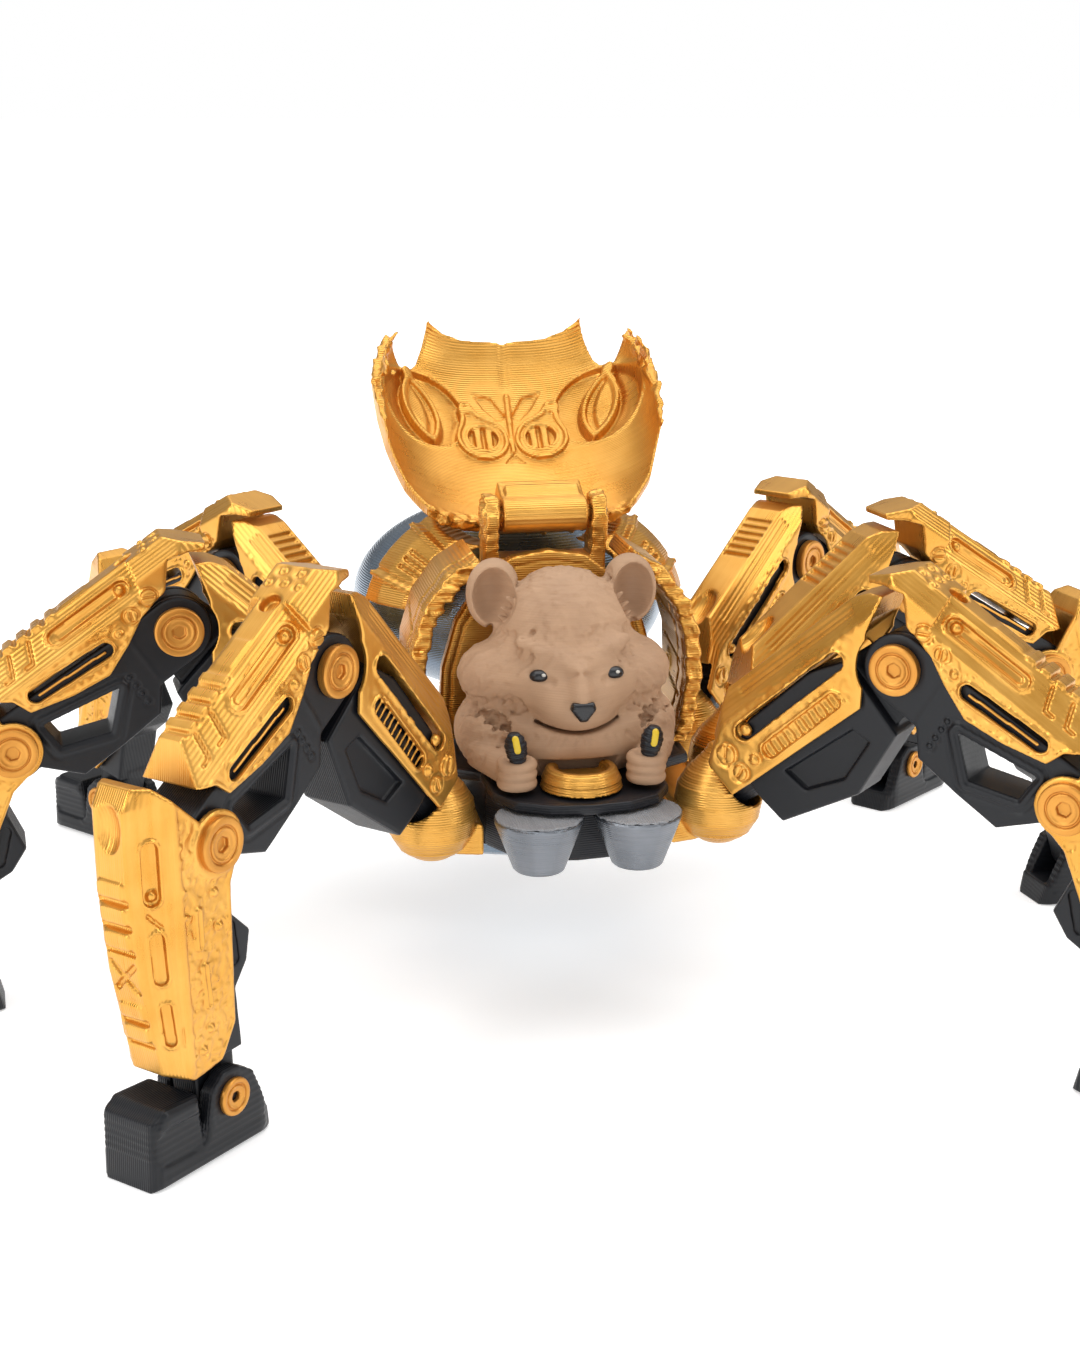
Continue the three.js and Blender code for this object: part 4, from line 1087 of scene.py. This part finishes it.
# ---------- Floor, light and camera ----------
def stage_and_light():
    scene = bpy.context.scene
    data = bpy.data.meshes.new("floor")
    reach = 30.0    # metres
    corners = [(-reach, -reach, 0), (reach, -reach, 0), (reach, reach, 0), (-reach, reach, 0)]
    data.from_pydata(corners, [], [(0, 1, 2, 3)])
    floor = bpy.data.objects.new("floor", data)
    scene.collection.objects.link(floor)
    material = bpy.data.materials.new("pale_floor")
    material.use_nodes = True
    tree = material.node_tree
    shader = tree.nodes["Principled BSDF"]
    for socket, value in (("Base Color", (0.9, 0.9, 0.9, 1)), ("Roughness", 0.9), ("Specular IOR Level", 0.1),
                          ("Emission Color", (1, 1, 1, 1))):
        shader.inputs[socket].default_value = value
    # painted light: the floor glows, more away from the model, so it fades into the white studio
    spread = add_node(tree, "TexCoord")
    away = add_node(tree, "VectorMath", links={0: spread.outputs["Object"]}, operation="LENGTH")
    glow = add_node(tree, "MapRange", {"From Min": 0.08, "From Max": 0.4, "To Min": 0.4, "To Max": 0.85},
                    {"Value": away.outputs["Value"]})
    tree.links.new(glow.outputs["Result"], shader.inputs["Emission Strength"])
    data.materials.append(material)

    world = bpy.data.worlds.new("studio")
    scene.world = world
    world.use_nodes = True
    tree = world.node_tree
    background = tree.nodes["Background"]
    background.inputs["Color"].default_value = (1, 1, 1, 1)
    where = add_node(tree, "TexCoord")
    split = add_node(tree, "SeparateXYZ", links={"Vector": where.outputs["Generated"]})
    level = add_node(tree, "MapRange", {"From Min": -0.1, "From Max": 0.75, "To Min": 0.1, "To Max": 0.62},
                     {"Value": split.outputs["Z"]})
    path = add_node(tree, "LightPath")
    shown = add_node(tree, "Mix", {"B": 1.0}, {"Factor": path.outputs["Is Camera Ray"],
                                               "A": level.outputs["Result"]}, data_type="FLOAT")
    tree.links.new(shown.outputs["Result"], background.inputs["Strength"])

    def softbox(name, place_at, look_at, width, height, watts):
        light = bpy.data.lights.new(name, "AREA")
        light.shape = "RECTANGLE"
        light.size, light.size_y = width, height
        light.energy = watts
        lamp = bpy.data.objects.new(name, light)
        scene.collection.objects.link(lamp)
        lamp.location = place_at
        lamp.rotation_euler = (Vector(look_at) - Vector(place_at)).to_track_quat("-Z", "Y").to_euler()

    softbox("overhead", (0.05, 0.1, 0.75), (0, 0, 0.03), 0.8, 0.8, 4.2)
    softbox("left_strip", (-0.65, -0.35, 0.35), (0, 0, 0.05), 0.25, 0.6, 2.2)
    softbox("right_strip", (0.65, -0.3, 0.4), (0, 0, 0.05), 0.25, 0.6, 1.8)
    softbox("front_fill", (-0.1, -0.9, 0.25), (0, 0, 0.05), 0.5, 0.3, 1.0)


CAMERA_TURN, CAMERA_RISE, CAMERA_REACH = -0.181, 0.267, 282.33    # radians, radians, millimetres
AIM_RIGHT, AIM_UP = -1.931, 38.04
FOCAL_PIXELS, TALL_SIDE, SENSOR = 2061.1, 1350, 36.0


def add_camera():
    a, e = CAMERA_TURN, CAMERA_RISE
    back = Vector((math.sin(a) * math.cos(e), -math.cos(a) * math.cos(e), math.sin(e)))
    right = Vector((math.cos(a), math.sin(a), 0))
    up = back.cross(right)
    data = bpy.data.cameras.new("camera")
    data.sensor_fit = "VERTICAL"
    data.sensor_width = data.sensor_height = SENSOR
    data.lens = FOCAL_PIXELS / TALL_SIDE * SENSOR
    data.clip_start, data.clip_end = 0.01, 50
    camera = bpy.data.objects.new("camera", data)
    bpy.context.scene.collection.objects.link(camera)
    matrix = Matrix((right, up, back)).transposed().to_4x4()
    matrix.translation = body_origin + (right * AIM_RIGHT + up * AIM_UP + back * CAMERA_REACH) * MM
    camera.matrix_world = matrix
    bpy.context.scene.camera = camera


stage_and_light()
add_camera()
bpy.context.scene.view_settings.view_transform = "Standard"
